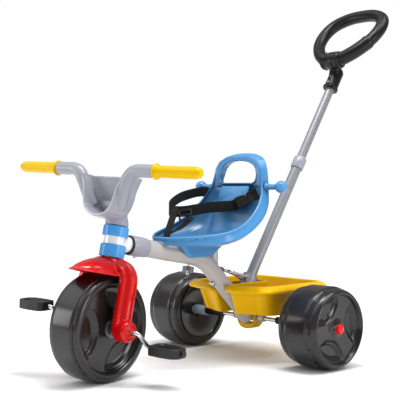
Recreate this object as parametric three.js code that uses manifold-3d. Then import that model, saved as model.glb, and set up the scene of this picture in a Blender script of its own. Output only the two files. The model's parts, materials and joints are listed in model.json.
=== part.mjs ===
// Children's tricycle with a parent push pole, millimetres, +Z up.
// The tricycle faces -Y and the rider's left is +X. The ground is z = 0, and before the last
// lines centre it the rear axle lies over y = 0. It stands with its front wheel turned a little left.
import * as THREE from "three";
import { mergeVertices } from "three/addons/utils/BufferGeometryUtils.js";
import Module from "manifold-3d";

const wasm = await Module();
wasm.setup();

// ---------- driving dimensions ----------
const gap = 0.3; // between pieces that are fixed to each other
const run = 0.08; // radial clearance of a running fit
const rad = THREE.MathUtils.degToRad;

const rear = { radius: 90, width: 108, centreX: 216, boss: 21, dish: 67, axleRadius: 5 };
const front = { radius: 110, width: 78, boss: 24, dish: 84, y: -438, z: 110.7 };
const wheelSides = 30;
const steering = { turned: rad(9.9), lean: rad(12.3) };

const spine = { outer: 19, inner: 17, start: [-360, 273.03], bend: [-151, 234.7], end: [-8, 90.6] };
const spineSlope = Math.atan2(spine.start[1] - spine.bend[1], spine.bend[0] - spine.start[0]);
const head = { outer: 22, bore: 16, bottom: 147, top: 205, ringOuter: 26.5, stubHeight: 173.84 };
const sleeve = { outer: 21.5, length: 44 };
const axleTube = { outer: 8, halfLength: 48 };

const pole = { lean: rad(32.5), base: [-2.5, 176], outer: 12.5, upperOuter: 10.8, wall: 1.5 };
const poleJoint = { at: 325, outer: 16 };
const poleTop = 556;
const loop = { lean: rad(44), foot: [305, 716], tube: 15.5 };

const bar = { halfLength: 132, height: 313, forward: 61.6, tube: 13.5, bendAt: 80 };
const grip = { radius: 12.2, length: 114 };
const fork = { inside: 51, outside: 70, depth: 44, crown: 143, bossRadius: 22, bossEnd: 84 };
const crank = { rod: 4.5, armAt: 104, back: 39.5, down: 25, pedalEnd: 192 };
const pedal = { width: 60, depth: 44, thickness: 19, at: 150 };

const bin = { floor: 105, rim: 174, rimDrop: 17, wall: 3, slot: 22, bow: 16 };
const pan = { thickness: 4.5 };
const strap = { width: 24, thickness: 2 };

// ---------- materials ----------
function finish(colour, roughness, metalness = 0) {
  return new THREE.MeshStandardMaterial({ color: colour, roughness, metalness });
}
const look = {
  blue: finish(0x4f9fd6, 0.35),
  red: finish(0xc8101a, 0.2),
  yellow: finish(0xe2b808, 0.35),
  greyPlastic: finish(0xa0a2ac, 0.45),
  silver: finish(0xb4b2b8, 0.35, 0.6),
  steel: finish(0xd0d2d4, 0.2, 1),
  black: finish(0x2a2a2b, 0.45),
  wheel: finish(0x4a484b, 0.5),
  nylon: finish(0xd8d8d4, 0.5),
  webbing: finish(0x38322e, 0.9),
  cap: finish(0xe03038, 0.3),
};

// ---------- solids ----------
// Merging the vertices closes the seams, the faces that collapse at a pole are left out, and a
// surface that faces inwards is turned round.
function solid(geometry) {
  const plain = geometry.clone();
  plain.deleteAttribute("normal");
  plain.deleteAttribute("uv");
  const merged = mergeVertices(plain, 1e-3);
  const vertProperties = new Float32Array(merged.attributes.position.array);
  const corners = [];
  for (let i = 0; i < merged.index.count; i += 3) {
    const [a, b, c] = [0, 1, 2].map((k) => merged.index.getX(i + k));
    if (a !== b && b !== c && c !== a) corners.push(a, b, c);
  }
  const made = manifoldOf(vertProperties, corners);
  return made.volume() < 0 ? manifoldOf(vertProperties, corners.reverse()) : made;
}

function manifoldOf(vertProperties, corners) {
  const triVerts = new Uint32Array(corners);
  return new wasm.Manifold(new wasm.Mesh({ numProp: 3, vertProperties, triVerts }));
}

function geometryOf(shape) {
  if (shape.isBufferGeometry) return shape;
  const made = shape.getMesh();
  return new THREE.BufferGeometry()
    .setAttribute("position", new THREE.BufferAttribute(made.vertProperties, 3))
    .setIndex(new THREE.BufferAttribute(made.triVerts, 1));
}

function add(group, name, shape, material) {
  const closed = shape.isBufferGeometry ? solid(shape) : shape;
  const mesh = new THREE.Mesh(geometryOf(closed), material);
  mesh.name = name;
  group.add(mesh);
}

function union(shapes) {
  return shapes.map(solid).reduce((whole, piece) => whole.add(piece));
}

function cut(shape, tools) {
  const start = shape.isBufferGeometry ? solid(shape) : shape;
  return tools.reduce((left, tool) => left.subtract(solid(tool)), start);
}

// Turns a profile of [radius, height] points round an axis; the profile runs anticlockwise.
function turned(profile, axis, sides = 24) {
  const points = profile.map(([r, h]) => new THREE.Vector2(r, h));
  if (profile[0][0] !== 0 && profile.at(-1) !== profile[0]) points.push(points[0].clone());
  const made = new THREE.LatheGeometry(points, sides, Math.PI / sides, 2 * Math.PI);
  if (axis === "x") made.rotateZ(-Math.PI / 2);
  if (axis === "z") made.rotateX(Math.PI / 2);
  return made;
}

function rod(radius, from, to, axis, sides = 24) {
  return turned([[0, from], [radius, from], [radius, to], [0, to]], axis, sides);
}

function ring(outer, inner, from, to, axis, sides = 24) {
  return turned([[inner, from], [outer, from], [outer, to], [inner, to]], axis, sides);
}

function box(x, y, z, at = [0, 0, 0]) {
  return new THREE.BoxGeometry(x, y, z).translate(...at);
}

// The points of a route whose corners are rounded, each corner cut back by the same length.
function rounded(points, corner) {
  const route = [points[0]];
  for (let i = 1; i < points.length - 1; i += 1) {
    const here = points[i];
    const before = here.clone().lerp(points[i - 1], corner / here.distanceTo(points[i - 1]));
    const after = here.clone().lerp(points[i + 1], corner / here.distanceTo(points[i + 1]));
    route.push(...new THREE.QuadraticBezierCurve3(before, here, after).getPoints(4));
  }
  return [...route, points.at(-1)];
}

// A round bar along a route that lies in one plane; normal is square to that plane.
function bent(route, radius, normal, sides = 20) {
  const square = normal.clone().normalize();
  const sections = route.map((point, i) => {
    const along = route[Math.min(i + 1, route.length - 1)].clone()
      .sub(route[Math.max(i - 1, 0)]).normalize();
    const across = new THREE.Vector3().crossVectors(along, square);
    return arc(0, 0, radius, 0, 360 - 360 / sides, sides - 1).map(([u, v]) =>
      point.clone().addScaledVector(square, u).addScaledVector(across, v).toArray(),
    );
  });
  const ends = [sections[0], sections.at(-1)];
  const circle = arc(0, 0, 1, 0, 360 - 360 / sides, sides - 1);
  return skinned(sections, (point) => circle[(ends[0].includes(point) ? ends[0] : ends[1])
    .indexOf(point)]);
}

// A round ring along a closed curve.
function hoop(curve, steps, radius, sides) {
  const section = new THREE.Shape().absarc(0, 0, radius, 0, 2 * Math.PI);
  const options = { steps, curveSegments: sides / 2, bevelEnabled: false, extrudePath: curve };
  return new THREE.ExtrudeGeometry(section, options);
}

// A plate: an outline of [x, y] points given a thickness, centred on z = 0.
function plate(outline, thickness) {
  const shape = new THREE.Shape(outline.map(([x, y]) => new THREE.Vector2(x, y)));
  return new THREE.ExtrudeGeometry(shape, { depth: thickness, bevelEnabled: false })
    .translate(0, 0, -thickness / 2);
}

// A solid skinned over closed sections, each a list of [x, y, z] with the same number of points.
// flat(section) gives the two coordinates in which the end caps are triangulated.
function skinned(sections, flat) {
  const count = sections[0].length;
  const positions = sections.flat(2);
  const index = [];
  for (let i = 0; i < sections.length - 1; i += 1) {
    for (let j = 0; j < count; j += 1) {
      const a = i * count + j;
      const b = i * count + ((j + 1) % count);
      index.push(a, b, b + count, a, b + count, a + count);
    }
  }
  for (const [row, turn] of [[0, true], [sections.length - 1, false]]) {
    const outline = sections[row].map((point) => new THREE.Vector2(...flat(point)));
    const reversed = turn !== THREE.ShapeUtils.isClockWise(outline);
    for (const [a, b, c] of THREE.ShapeUtils.triangulateShape(outline, [])) {
      const face = reversed ? [a, c, b] : [a, b, c];
      index.push(...face.map((k) => k + row * count));
    }
  }
  const made = new THREE.BufferGeometry().setIndex(index);
  made.setAttribute("position", new THREE.Float32BufferAttribute(positions, 3));
  return made;
}

function arc(cx, cy, radius, from, to, steps) {
  const points = [];
  for (let i = 0; i <= steps; i += 1) {
    const a = rad(from + ((to - from) * i) / steps);
    points.push([cx + radius * Math.cos(a), cy + radius * Math.sin(a)]);
  }
  return points;
}

function roundedRectangle(halfX, y0, y1, radius, steps) {
  return [
    ...arc(halfX - radius, y0 + radius, radius, -90, 0, steps),
    ...arc(halfX - radius, y1 - radius, radius, 0, 90, steps),
    ...arc(-halfX + radius, y1 - radius, radius, 90, 180, steps),
    ...arc(-halfX + radius, y0 + radius, radius, 180, 270, steps),
  ];
}

// ---------- wheels ----------
// Section of a wheel from the axis out: x is the outboard direction.
function wheelProfile(size, bore, backDepth, dishDepth, hubFace) {
  const half = size.width / 2;
  const tread = size.radius / Math.cos(Math.PI / wheelSides);
  const round = 16;
  const outerShoulder = arc(tread - round, half - round, round, 0, 90, 3);
  const innerShoulder = arc(tread - round, round - half, round, -90, 0, 3);
  return [
    [bore, backDepth - half - 2],
    [size.boss, backDepth - half - 2],
    [size.boss + 2, backDepth - half],
    [size.dish - 10, backDepth - half],
    [size.dish - 4, -half + 8],
    [size.dish, -half],
    ...innerShoulder,
    ...outerShoulder,
    [size.dish + 2, half],
    [size.dish - 3, half - dishDepth],
    [size.boss + 5, hubFace - 7],
    [size.boss - 6, hubFace],
    [bore, hubFace],
  ];
}

// Three leaf-shaped pockets sunk in the outboard disc between the rim and the hub.
function pocketTools(size, face, depth, firstAngle) {
  const rimRadius = size.dish - 8;
  const spread = 40;
  const tip = [rimRadius * Math.cos(rad(spread)), rimRadius * Math.sin(rad(spread))];
  const nearest = size.boss + 7;
  const bulge = (tip[0] ** 2 + tip[1] ** 2 - nearest ** 2) / (2 * (tip[0] - nearest));
  const innerRadius = bulge - nearest;
  const half = (Math.atan2(tip[1], bulge - tip[0]) * 180) / Math.PI;
  const leaf = [
    ...arc(0, 0, rimRadius, -spread, spread, 4),
    ...arc(bulge, 0, innerRadius, 180 - half, 180 + half, 4).slice(1, -1),
  ];
  return [0, 120, 240].map((turn) =>
    plate(leaf, 2 * depth)
      .rotateZ(rad(firstAngle + turn))
      .rotateX(Math.PI / 2)
      .rotateZ(Math.PI / 2)
      .translate(face, 0, 0),
  );
}

function rearWheel(side) {
  const group = new THREE.Group();
  group.position.set(side * rear.centreX, 0, rear.radius);
  const half = rear.width / 2;
  const name = side > 0 ? "left" : "right";
  const bushOuter = 9;
  const profile = wheelProfile(rear, bushOuter + gap, 30, 12, half - 7);
  const wheel = cut(turned(profile, "x", wheelSides), pocketTools(rear, half - 10, 9, 8));
  const bore = rear.axleRadius + run;
  const innerBush = ring(bushOuter, bore, 28 - half, 48 - half, "x");
  const outerBush = ring(bushOuter, bore, half - 27, half - 7, "x");
  const parts = [
    ["rear_wheel_" + name, wheel, look.wheel],
    ["inner_bush_" + name, innerBush, look.nylon],
    ["outer_bush_" + name, outerBush, look.nylon],
  ];
  for (const [label, shape, material] of parts) {
    const made = geometryOf(shape);
    if (side < 0) made.rotateZ(Math.PI);
    add(group, label, made, material);
  }
  return group;
}

function rearAxle() {
  const group = new THREE.Group();
  group.position.z = rear.radius;
  const r = rear.axleRadius;
  const end = rear.centreX + rear.width / 2 - 3;
  add(group, "rear_axle", rod(r, -end, end, "x"), look.steel);
  const hollow = r + gap;
  const half = axleTube.halfLength;
  add(group, "axle_tube", ring(axleTube.outer, hollow, -half, half, "x"), look.silver);
  for (const [side, name] of [[1, "left"], [-1, "right"]]) {
    const turn = side < 0 ? Math.PI : 0;
    const sleeveTube = ring(8.5, hollow, 87, 145, "x").rotateZ(turn);
    const spacer = ring(11.5, hollow, 145 + gap, 187.4, "x").rotateZ(turn);
    const face = end - 3.4;
    const cap = turned([
      [0, end + gap], [r + gap, end + gap], [r + gap, face], [11, face],
      [11, face + 4], ...arc(5, face + 4, 6, 0, 90, 2), [0, face + 10],
    ], "x", 14);
    add(group, "axle_sleeve_" + name, sleeveTube, look.black);
    add(group, "axle_spacer_" + name, spacer, look.greyPlastic);
    add(group, "axle_cap_" + name, cap.rotateZ(turn), look.cap);
  }
  return group;
}

// ---------- spine of the frame ----------
function spinePoint([y, z]) {
  return new THREE.Vector3(0, y, z);
}

// A tool or piece standing square to the upper stretch of the spine, at distance y along it.
function onSpine(shape, y) {
  const along = (y - spine.bend[0]) / (spine.start[0] - spine.bend[0]);
  const z = spine.bend[1] + along * (spine.start[1] - spine.bend[1]);
  return shape.rotateX(-spineSlope).translate(0, y, z);
}

const lowerDirection = spinePoint(spine.end).sub(spinePoint(spine.bend)).normalize();
const lowerTilt = Math.atan2(-lowerDirection.z, lowerDirection.y);

// The same for the lower stretch.
function onLowerSpine(shape, distance) {
  const at = spinePoint(spine.bend).addScaledVector(lowerDirection, distance);
  return shape.rotateX(-lowerTilt).translate(at.x, at.y, at.z);
}

const seatBolt = { y: -190, radius: 3, travel: 30 };
const frameBolt = { distance: 62, radius: 3.5 };

// The spine as a solid bar of any radius, its ends run on by extra.
function spineBar(radius, extra = 0) {
  const route = rounded([spine.start, spine.bend, spine.end].map(spinePoint), 34);
  const beyondStart = route[0].clone().sub(route[1]).setLength(extra);
  const beyondEnd = route.at(-1).clone().sub(route.at(-2)).setLength(extra);
  route[0] = route[0].clone().add(beyondStart);
  route[route.length - 1] = route.at(-1).clone().add(beyondEnd);
  return bent(route, radius, new THREE.Vector3(1, 0, 0), 24);
}

function spineParts() {
  const group = new THREE.Group();
  const slotLength = seatBolt.travel + 2 * seatBolt.radius + 1;
  const slot = onSpine(box(7, slotLength, 60, [0, -seatBolt.travel / 2, 0]), seatBolt.y);
  const boltHole = onLowerSpine(rod(frameBolt.radius + gap, -30, 30, "z"), frameBolt.distance);
  const axleSeat = rod(axleTube.outer + gap, -40, 40, "x").translate(0, 0, rear.radius);
  const tools = [spineBar(spine.inner, 10), slot, boltHole, axleSeat];
  add(group, "frame_tube", cut(spineBar(spine.outer), tools), look.silver);
  add(group, "joint_sleeve", jointSleeve(), look.greyPlastic);
  const seal = onSpine(ring(20.6, 17.2, -3, 0, "y", 20), spine.start[0] - 2);
  add(group, "sleeve_seal", seal, look.black);
  const screw = onSpine(rod(4.6, -25, -sleeve.outer - gap, "z", 14), spine.start[0] + 18);
  add(group, "sleeve_screw", screw, look.steel);
  const boltHead = onLowerSpine(frameBoltShape(), frameBolt.distance);
  add(group, "frame_bolt", boltHead, look.steel);
  const nutRoom = rod(frameBolt.radius + gap, 10, 30, "z", 18);
  const nut = geometryOf(cut(rod(7, 19.6, 25, "z", 6), [nutRoom]));
  add(group, "frame_nut", onLowerSpine(nut, frameBolt.distance), look.steel);
  return group;
}

function frameBoltShape() {
  const profile = [
    [0, -25], [6, -24], [7.5, -21], [7.5, -19.5], [frameBolt.radius, -19.5],
    [frameBolt.radius, 27], [0, 27],
  ];
  return turned(profile, "z", 18);
}

function jointSleeve() {
  const outer = sleeve.outer;
  const profile = [
    [spine.outer + gap, 0], [outer - 1, 0], [outer, 2], [outer, sleeve.length - 12],
    [outer - 1.6, sleeve.length], [spine.outer + gap, sleeve.length],
  ];
  return onSpine(turned(profile, "y", 20), spine.start[0] - 1);
}

function seatPost() {
  const top = 251;
  const post = ring(11, 7, 205, top, "z", 20).translate(0, -118, 0);
  return cut(post, [spineBar(spine.outer + gap)]);
}

// ---------- head and bearings, in the frame of the leaning steering axis ----------
function headParts() {
  const group = new THREE.Group();
  const stub = rod(16.6, 5, 74, "y", 20).rotateX(steering.lean - spineSlope);
  stub.translate(0, 0, head.stubHeight);
  const stubRoom = rod(16.6 + gap, 0, 74, "y", 20).rotateX(steering.lean - spineSlope);
  stubRoom.translate(0, 0, head.stubHeight);
  const bore = rod(head.bore, head.bottom - 5, head.top + 5, "z", 20);
  const barrel = rod(head.outer, head.bottom, head.top, "z", 20);
  add(group, "head_tube", cut(union([barrel, stub]), [bore]), look.silver);
  const stemRoom = 11.9 + run;
  const inner = head.outer + gap;
  const upper = turned([
    [stemRoom, head.top + gap], [inner, head.top + gap], [inner, 186], [head.ringOuter, 186],
    [head.ringOuter, head.top + 1], [24, head.top + 3], [stemRoom, head.top + 3],
  ], "z", 32);
  const lower = turned([
    [stemRoom, 143.4], [head.ringOuter, 143.4], [head.ringOuter, 168], [inner, 170],
    [inner, head.bottom - gap], [stemRoom, head.bottom - gap],
  ], "z", 32);
  add(group, "upper_headset_ring", cut(upper, [stubRoom]), look.blue);
  add(group, "lower_headset_ring", cut(lower, [stubRoom]), look.blue);
  return group;
}

// ---------- fork, mudguard, stem and bar, in the frame of the steered front wheel ----------
function archOutline() {
  const { inside, outside, crown } = fork;
  const shoulder = 44;
  const soffit = 116.5;
  const corner = 22;
  const outer = [[outside, 0], ...arc(outside - shoulder, crown - shoulder, shoulder, 0, 90, 6)];
  const inner = [[inside, 0], ...arc(inside - corner, soffit - corner, corner, 0, 90, 4)];
  const mirrored = (points) => points.map(([x, z]) => [-x, z]);
  return [...outer, ...mirrored(outer).reverse(), ...mirrored(inner), ...inner.reverse()];
}

function forkShape() {
  const arch = plate(archOutline(), fork.depth).rotateX(Math.PI / 2);
  const bosses = [1, -1].map((side) =>
    rod(fork.bossRadius, fork.inside, fork.bossEnd, "x", 22).rotateZ(side < 0 ? Math.PI : 0),
  );
  const bushRoom = rod(9 + gap, -100, 100, "x");
  const stemRoom = rod(11.9 + gap, 110, 160, "z");
  return cut(union([arch, ...bosses]), [bushRoom, stemRoom]);
}

// A curved peak in front of the crown and a shorter one behind it, joined by a strip that passes
// between the crown and the tyre.
function mudguard() {
  const sections = [];
  const steps = 12;
  const [tip, tail] = [-104, 64];
  for (let i = 0; i <= steps; i += 1) {
    const y = tip + ((tail - tip) * i) / steps;
    const reach = y < 0 ? y / (tip - 4) : y / (tail + 4);
    const half = 47 * Math.sqrt(Math.max(0.03, 1 - reach * reach));
    const ridge = 129 - 25 * reach ** 1.6;
    const above = arc(0, 0, 1, 180, 0, 8).map(([c, s]) => [half * c, y, ridge - 9 * (1 - s)]);
    const below = arc(0, 0, 1, 0, 180, 8)
      .map(([c, s]) => [(half - 1.5) * c, y, ridge - 3 - 9 * (1 - s)]);
    sections.push([...above, ...below]);
  }
  const peak = skinned(sections, ([x, , z]) => [x, z]);
  const forkDepth = fork.depth + 2 * gap;
  const crownRoom = box(200, forkDepth, 40, [0, 0, 132]);
  const strip = box(60, fork.depth + 8, 3.4, [0, 0, 114.4]);
  const lugs = [1, -1].map((side) => box(60, 4, 12, [0, side * (forkDepth / 2 + 2), 118.7]));
  return cut(peak, [crownRoom]).add(union([strip, ...lugs]));
}

function steeringParts() {
  const group = new THREE.Group();
  add(group, "fork", forkShape(), look.red);
  add(group, "mudguard", mudguard(), look.red);
  const stem = rod(11.9, 119, 250, "z");
  add(group, "steering_stem", stem, look.steel);
  for (const [side, name] of [[1, "left"], [-1, "right"]]) {
    const turn = side < 0 ? Math.PI : 0;
    const bush = ring(9, crank.rod + run, fork.inside, fork.bossEnd - 1, "x").rotateZ(turn);
    add(group, "fork_bush_" + name, bush, look.nylon);
    const grab = gripShape().rotateZ(turn).translate(0, -bar.forward, bar.height);
    add(group, "grip_" + name, grab, look.yellow);
  }
  add(group, "handlebar", handlebarShape(), look.greyPlastic);
  return group;
}

function gripShape() {
  const start = bar.halfLength;
  const end = start + grip.length - grip.radius;
  const r = grip.radius;
  const coreEnd = start + 40;
  const profile = [
    [9 + gap, start + gap], [15, start + gap], [16, start + 2], [16, start + 4],
    [r, start + 8], [r, end], ...arc(0, end, r, 0, 90, 3).slice(1, -1),
    [0, end + r], [0, coreEnd + gap], [9 + gap, coreEnd + gap],
  ];
  return turned([...profile, profile[0]], "x", 14);
}

// The bar and its scoop are one moulding: two round arms bend down into the walls of an open-
// fronted scoop, which narrows behind to a foot on the stem.
function handlebarShape() {
  const { height, forward, tube, bendAt, halfLength } = bar;
  const arms = [1, -1].map((side) => {
    const points = [
      new THREE.Vector3(side * halfLength, -forward, height),
      new THREE.Vector3(side * bendAt, -forward, height),
      new THREE.Vector3(side * 40, 14 - forward, 262),
    ];
    const plane = new THREE.Vector3().crossVectors(
      points[0].clone().sub(points[1]), points[2].clone().sub(points[1]),
    );
    return bent(rounded(points, 20), tube, plane, 16);
  });
  const cores = [1, -1].map((side) =>
    rod(9, halfLength - 2, halfLength + 40, "x", 16)
      .rotateZ(side < 0 ? Math.PI : 0)
      .translate(0, -forward, height),
  );
  const foot = turned([[0, 208.6], [25.5, 208.6], [23, 222], [24, 236], [0, 240]], "z", 24);
  const stemRoom = rod(11.9 + gap, 200, 250 + gap, "z", 20);
  return cut(union([...arms, ...cores, foot]).add(scoopShape()), [stemRoom]);
}

// Half the outline of the scoop seen from the front, from its bottom up, drawn in by inset.
function scoopSide(inset) {
  return [[18, 230], [30, 237], [38, 250], [42.5, 265], [48, 280], [57, 296], [70, 312]]
    .map(([x, z]) => [x - inset, z + (z < 260 ? 0.6 * inset : 0)]);
}

function scoopShape() {
  const mirrored = (half) => [...half, ...half.map(([x, z]) => [-x, z]).reverse()];
  const upright = (outline, depth) => plate(outline, depth).rotateX(Math.PI / 2);
  const walls = solid(upright(mirrored(scoopSide(0)), 180));
  const neck = solid(upright(mirrored([[22, 214], [24, 236], [30, 262]]), 60));
  const sideView = plate([
    [-68, 320], [-66, 240], [-56, 230], [-34, 222], [-22, 210], [16, 210], [14, 226],
    [-4, 240], [-10, 262], [-24, 300], [-48, 306], [-48, 320],
  ], 180).rotateX(Math.PI / 2).rotateZ(Math.PI / 2);
  const hollow = solid(upright(mirrored(scoopSide(8)), 200)).translate([0, -100, 0]);
  const panelFront = plate([[-200, 150], [-7, 150], [-52, 320], [-200, 320]], 180)
    .rotateX(Math.PI / 2).rotateZ(Math.PI / 2);
  const aboveTop = box(88, 60, 40, [0, -40, 324]);
  const scooped = hollow.intersect(solid(panelFront));
  return walls.add(neck).intersect(solid(sideView)).subtract(scooped).subtract(solid(aboveTop));
}

// ---------- front wheel, cranks and pedals ----------
function frontWheelParts() {
  const group = new THREE.Group();
  const half = front.width / 2;
  const bore = crank.rod + gap;
  const profile = wheelProfile(front, bore, 10, 10, half - 8);
  const pockets = pocketTools(front, half - 9, 8, 60);
  const backPockets = pocketTools(front, half - 9, 8, 60).map((tool) => tool.rotateZ(Math.PI));
  const wheel = cut(turned(profile, "x", wheelSides), [...pockets, ...backPockets]);
  const level = geometryOf(wheel).rotateX(steering.lean);
  add(group, "front_wheel", level, look.wheel);
  for (const [side, name] of [[1, "left"], [-1, "right"]]) {
    const from = half - 8 + gap;
    const disc = turned([
      [bore, from], [19, from], [19, from + 4], [15, from + 6], [bore, from + 6],
    ], "x", 18);
    add(group, "front_hub_" + name, disc.rotateZ(side < 0 ? Math.PI : 0), look.greyPlastic);
  }
  add(group, "crank_axle", crankAxle(), look.steel);
  return group;
}

function crankOffset(side) {
  return new THREE.Vector3(0, side * crank.back, -side * crank.down);
}

function crankAxle() {
  const halfPath = (side) => {
    const out = crankOffset(side);
    const x = (value) => new THREE.Vector3(side * value, 0, 0);
    return [x(crank.armAt), x(crank.armAt).add(out), x(crank.pedalEnd).add(out)];
  };
  const points = [...halfPath(-1).reverse(), ...halfPath(1)];
  const plane = new THREE.Vector3(1, 0, 0).cross(crankOffset(1));
  return bent(rounded(points, 9), crank.rod, plane, 14);
}

function pedalParts(side) {
  const group = new THREE.Group();
  const offset = crankOffset(side);
  const middle = pedal.at;
  group.position.set(side * middle, offset.y, offset.z);
  const { width, depth, thickness } = pedal;
  const chamfer = 11;
  const outline = [
    [-width / 2 + 6, -depth / 2], [width / 2 - chamfer, -depth / 2], [width / 2, -depth / 2 + chamfer],
    [width / 2, depth / 2 - chamfer], [width / 2 - chamfer, depth / 2], [-width / 2 + 6, depth / 2],
    [-width / 2, depth / 2 - 6], [-width / 2, -depth / 2 + 6],
  ];
  const block = cut(plate(outline, thickness), [rod(crank.rod + run, -60, 60, "x", 28)]);
  const name = side > 0 ? "left" : "right";
  const turn = side < 0 ? Math.PI : 0;
  const body = geometryOf(block).rotateZ(turn).rotateX(steering.lean);
  add(group, "pedal_" + name, body, look.black);
  const start = crank.pedalEnd + gap - middle;
  const washer = turned([
    [0, start], [7, start], [7, start + 2], [4, start + 4], [0, start + 4],
  ], "x", 18);
  add(group, "pedal_cap_" + name, washer.rotateZ(turn), look.steel);
  return group;
}

// ---------- bin ----------
// A level section: the front bows forward between rounded corners, and the back is straight.
function binSection(z, grow) {
  const share = (z - bin.floor) / (bin.rim - bin.floor);
  const half = 109 + 8 * share + grow;
  const frontY = -54 - 24 * share - grow;
  const backY = 112 + 18 * share + grow;
  const corner = 30;
  const bow = [0.3, 0.65].map((part) => [
    part * (half - corner),
    frontY - bin.bow * (1 - part * part),
  ]);
  const side = [
    ...bow,
    ...arc(half - corner, frontY + corner, corner, -72, 0, 3),
    ...arc(half - corner, backY - corner, corner, 0, 90, 3),
  ];
  const whole = [...side, ...side.map(([x, y]) => [-x, y]).reverse()];
  return whole.map(([x, y]) => [x, y, z]);
}

function binBlock(...levels) {
  return skinned(levels.map(([z, grow]) => binSection(z, grow)), ([x, y]) => [x, y]);
}

function slotBlock(grow, z0, z1) {
  const width = 2 * (bin.slot + grow);
  const back = 30 + grow;
  const frontEdge = -140;
  return box(width, back - frontEdge, z1 - z0, [0, (back + frontEdge) / 2, (z0 + z1) / 2]);
}

function binShape() {
  const { floor, rim, rimDrop, wall } = bin;
  const lip = binBlock([rim - rimDrop, 12], [rim - rimDrop + 3, 16], [rim - 3, 7], [rim, 2]);
  const outside = union([binBlock([floor, 0], [rim, 0]), lip]);
  const inside = solid(binBlock([floor + wall, -wall], [rim + 5, -wall]))
    .subtract(solid(slotBlock(wall, floor, rim + 10)));
  const tub = outside.subtract(inside).subtract(solid(slotBlock(0, floor - 10, rim + 10)));
  const tab = plate(
    [[-34, 0], [-34, 24], [-30, 32], [-18, 41], [18, 41], [30, 32], [34, 24], [34, 0]], 28,
  ).rotateX(-Math.PI / 2).translate(0, 2, floor + 1);
  const tabSlot = slotBlock(0, rear.radius - 12, floor + 10);
  const axleRoom = rod(axleTube.outer + run, -60, 60, "x").translate(0, 0, rear.radius);
  const saddle = cut(tab, [tabSlot, axleRoom]);
  return tub.add(saddle);
}

// ---------- push pole ----------
// The pole's own frame: z runs up along the pole from its base collar.
function poleGroup() {
  const group = new THREE.Group();
  group.position.set(0, ...pole.base);
  group.rotation.x = -pole.lean;
  return group;
}

function socketParts() {
  const group = poleGroup();
  const bore = pole.outer + run;
  const socketOuter = 16.2;
  const tube = ring(socketOuter, bore, -70, 8, "z");
  const toWorld = (shape) => shape.rotateX(-pole.lean).translate(0, ...pole.base);
  const spineRoom = spineBar(spine.outer + gap, 20);
  const axleRoom = rod(axleTube.outer + gap, -40, 40, "x").translate(0, 0, rear.radius);
  const belowAxle = box(80, 200, 40, [0, 0, rear.radius - 8]);
  const fitted = cut(toWorld(tube), [spineRoom, axleRoom, belowAxle]);
  const biggest = fitted.decompose().sort((a, b) => b.volume() - a.volume())[0];
  const world = new THREE.Group();
  add(world, "pole_socket", biggest, look.silver);
  const { half, radius } = bailPin;
  const nose = box(2 * half, 16, 12, [0, bailPin.y + 4, bailPin.z]);
  const collar = ring(18.5, socketOuter + gap, -14, 12, "z");
  const lip = ring(18.5, bore, 8 + gap, 12, "z");
  const pins = rod(radius, -half - 7, half + 7, "x", 16).translate(0, bailPin.y, bailPin.z);
  const through = rod(socketOuter + gap, -20, 8 + gap, "z");
  const made = cut(union([collar, lip, nose, pins]), [through]);
  const clear = made.subtract(solid(rod(bore, -20, 20, "z")));
  add(group, "pole_collar", clear, look.greyPlastic);
  world.add(group);
  return world;
}

const bailPin = { y: -24, z: -4, radius: 2.6, half: 11 };

// A wire bail hinged on the collar's nose; its crossbar lies ahead of the pole.
function lockBail() {
  const group = poleGroup();
  const arm = 54;
  const lift = rad(-13.6);
  const wireRadius = 2.4;
  const reach = new THREE.Vector3(0, -arm * Math.cos(lift), arm * Math.sin(lift));
  const start = new THREE.Vector3(0, bailPin.y, bailPin.z);
  const pivotX = bailPin.half + 3.2;
  const at = (x, share) => start.clone().addScaledVector(reach, share).setX(x);
  const points = [at(pivotX, 0), at(pivotX, 1), at(-pivotX, 1), at(-pivotX, 0)];
  const plane = new THREE.Vector3(1, 0, 0).cross(reach);
  const wire = bent(rounded(points, 7), wireRadius, plane, 10);
  const eyes = [1, -1].map((side) =>
    rod(5.2, bailPin.half + 0.6, bailPin.half + 5.6, "x", 16)
      .rotateZ(side < 0 ? Math.PI : 0)
      .translate(0, bailPin.y, bailPin.z),
  );
  const pinRoom = rod(bailPin.radius + run, -40, 40, "x", 16)
    .translate(0, bailPin.y, bailPin.z);
  add(group, "lock_bail", cut(union([wire, ...eyes]), [pinRoom]), look.black);
  return group;
}

function poleParts() {
  const group = poleGroup();
  const slip = pole.upperOuter + run;
  const lower = ring(pole.outer, slip, -38, poleJoint.at, "z");
  add(group, "pole_lower_tube", lower, look.silver);
  const joint = turned([
    [slip, poleJoint.at + gap], [pole.outer, poleJoint.at + gap],
    [pole.outer + gap, poleJoint.at], [pole.outer + gap, poleJoint.at - 14],
    [poleJoint.outer - 1, poleJoint.at - 14], [poleJoint.outer, poleJoint.at - 11],
    [poleJoint.outer, poleJoint.at + 14], [poleJoint.outer - 2.5, poleJoint.at + 18],
    [slip, poleJoint.at + 18],
  ], "z");
  add(group, "pole_joint", joint, look.greyPlastic);
  const upper = ring(pole.upperOuter, pole.upperOuter - pole.wall, poleJoint.at - 60, poleTop + 21, "z");
  add(group, "pole_upper_tube", upper, look.silver);
  add(group, "handle_hub", handleHub(), look.black);
  add(group, "handle_ring", handleRing(), look.black);
  return group;
}

// The loop stands in a plane that leans back further than the pole; its foot is ahead of the pole.
function loopFrame(shape) {
  const [y, z] = [loop.foot[0] - pole.base[0], loop.foot[1] - pole.base[1]];
  const across = y * Math.cos(pole.lean) - z * Math.sin(pole.lean);
  const along = y * Math.sin(pole.lean) + z * Math.cos(pole.lean);
  return shape.rotateX(pole.lean - loop.lean).translate(0, across, along);
}

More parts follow.
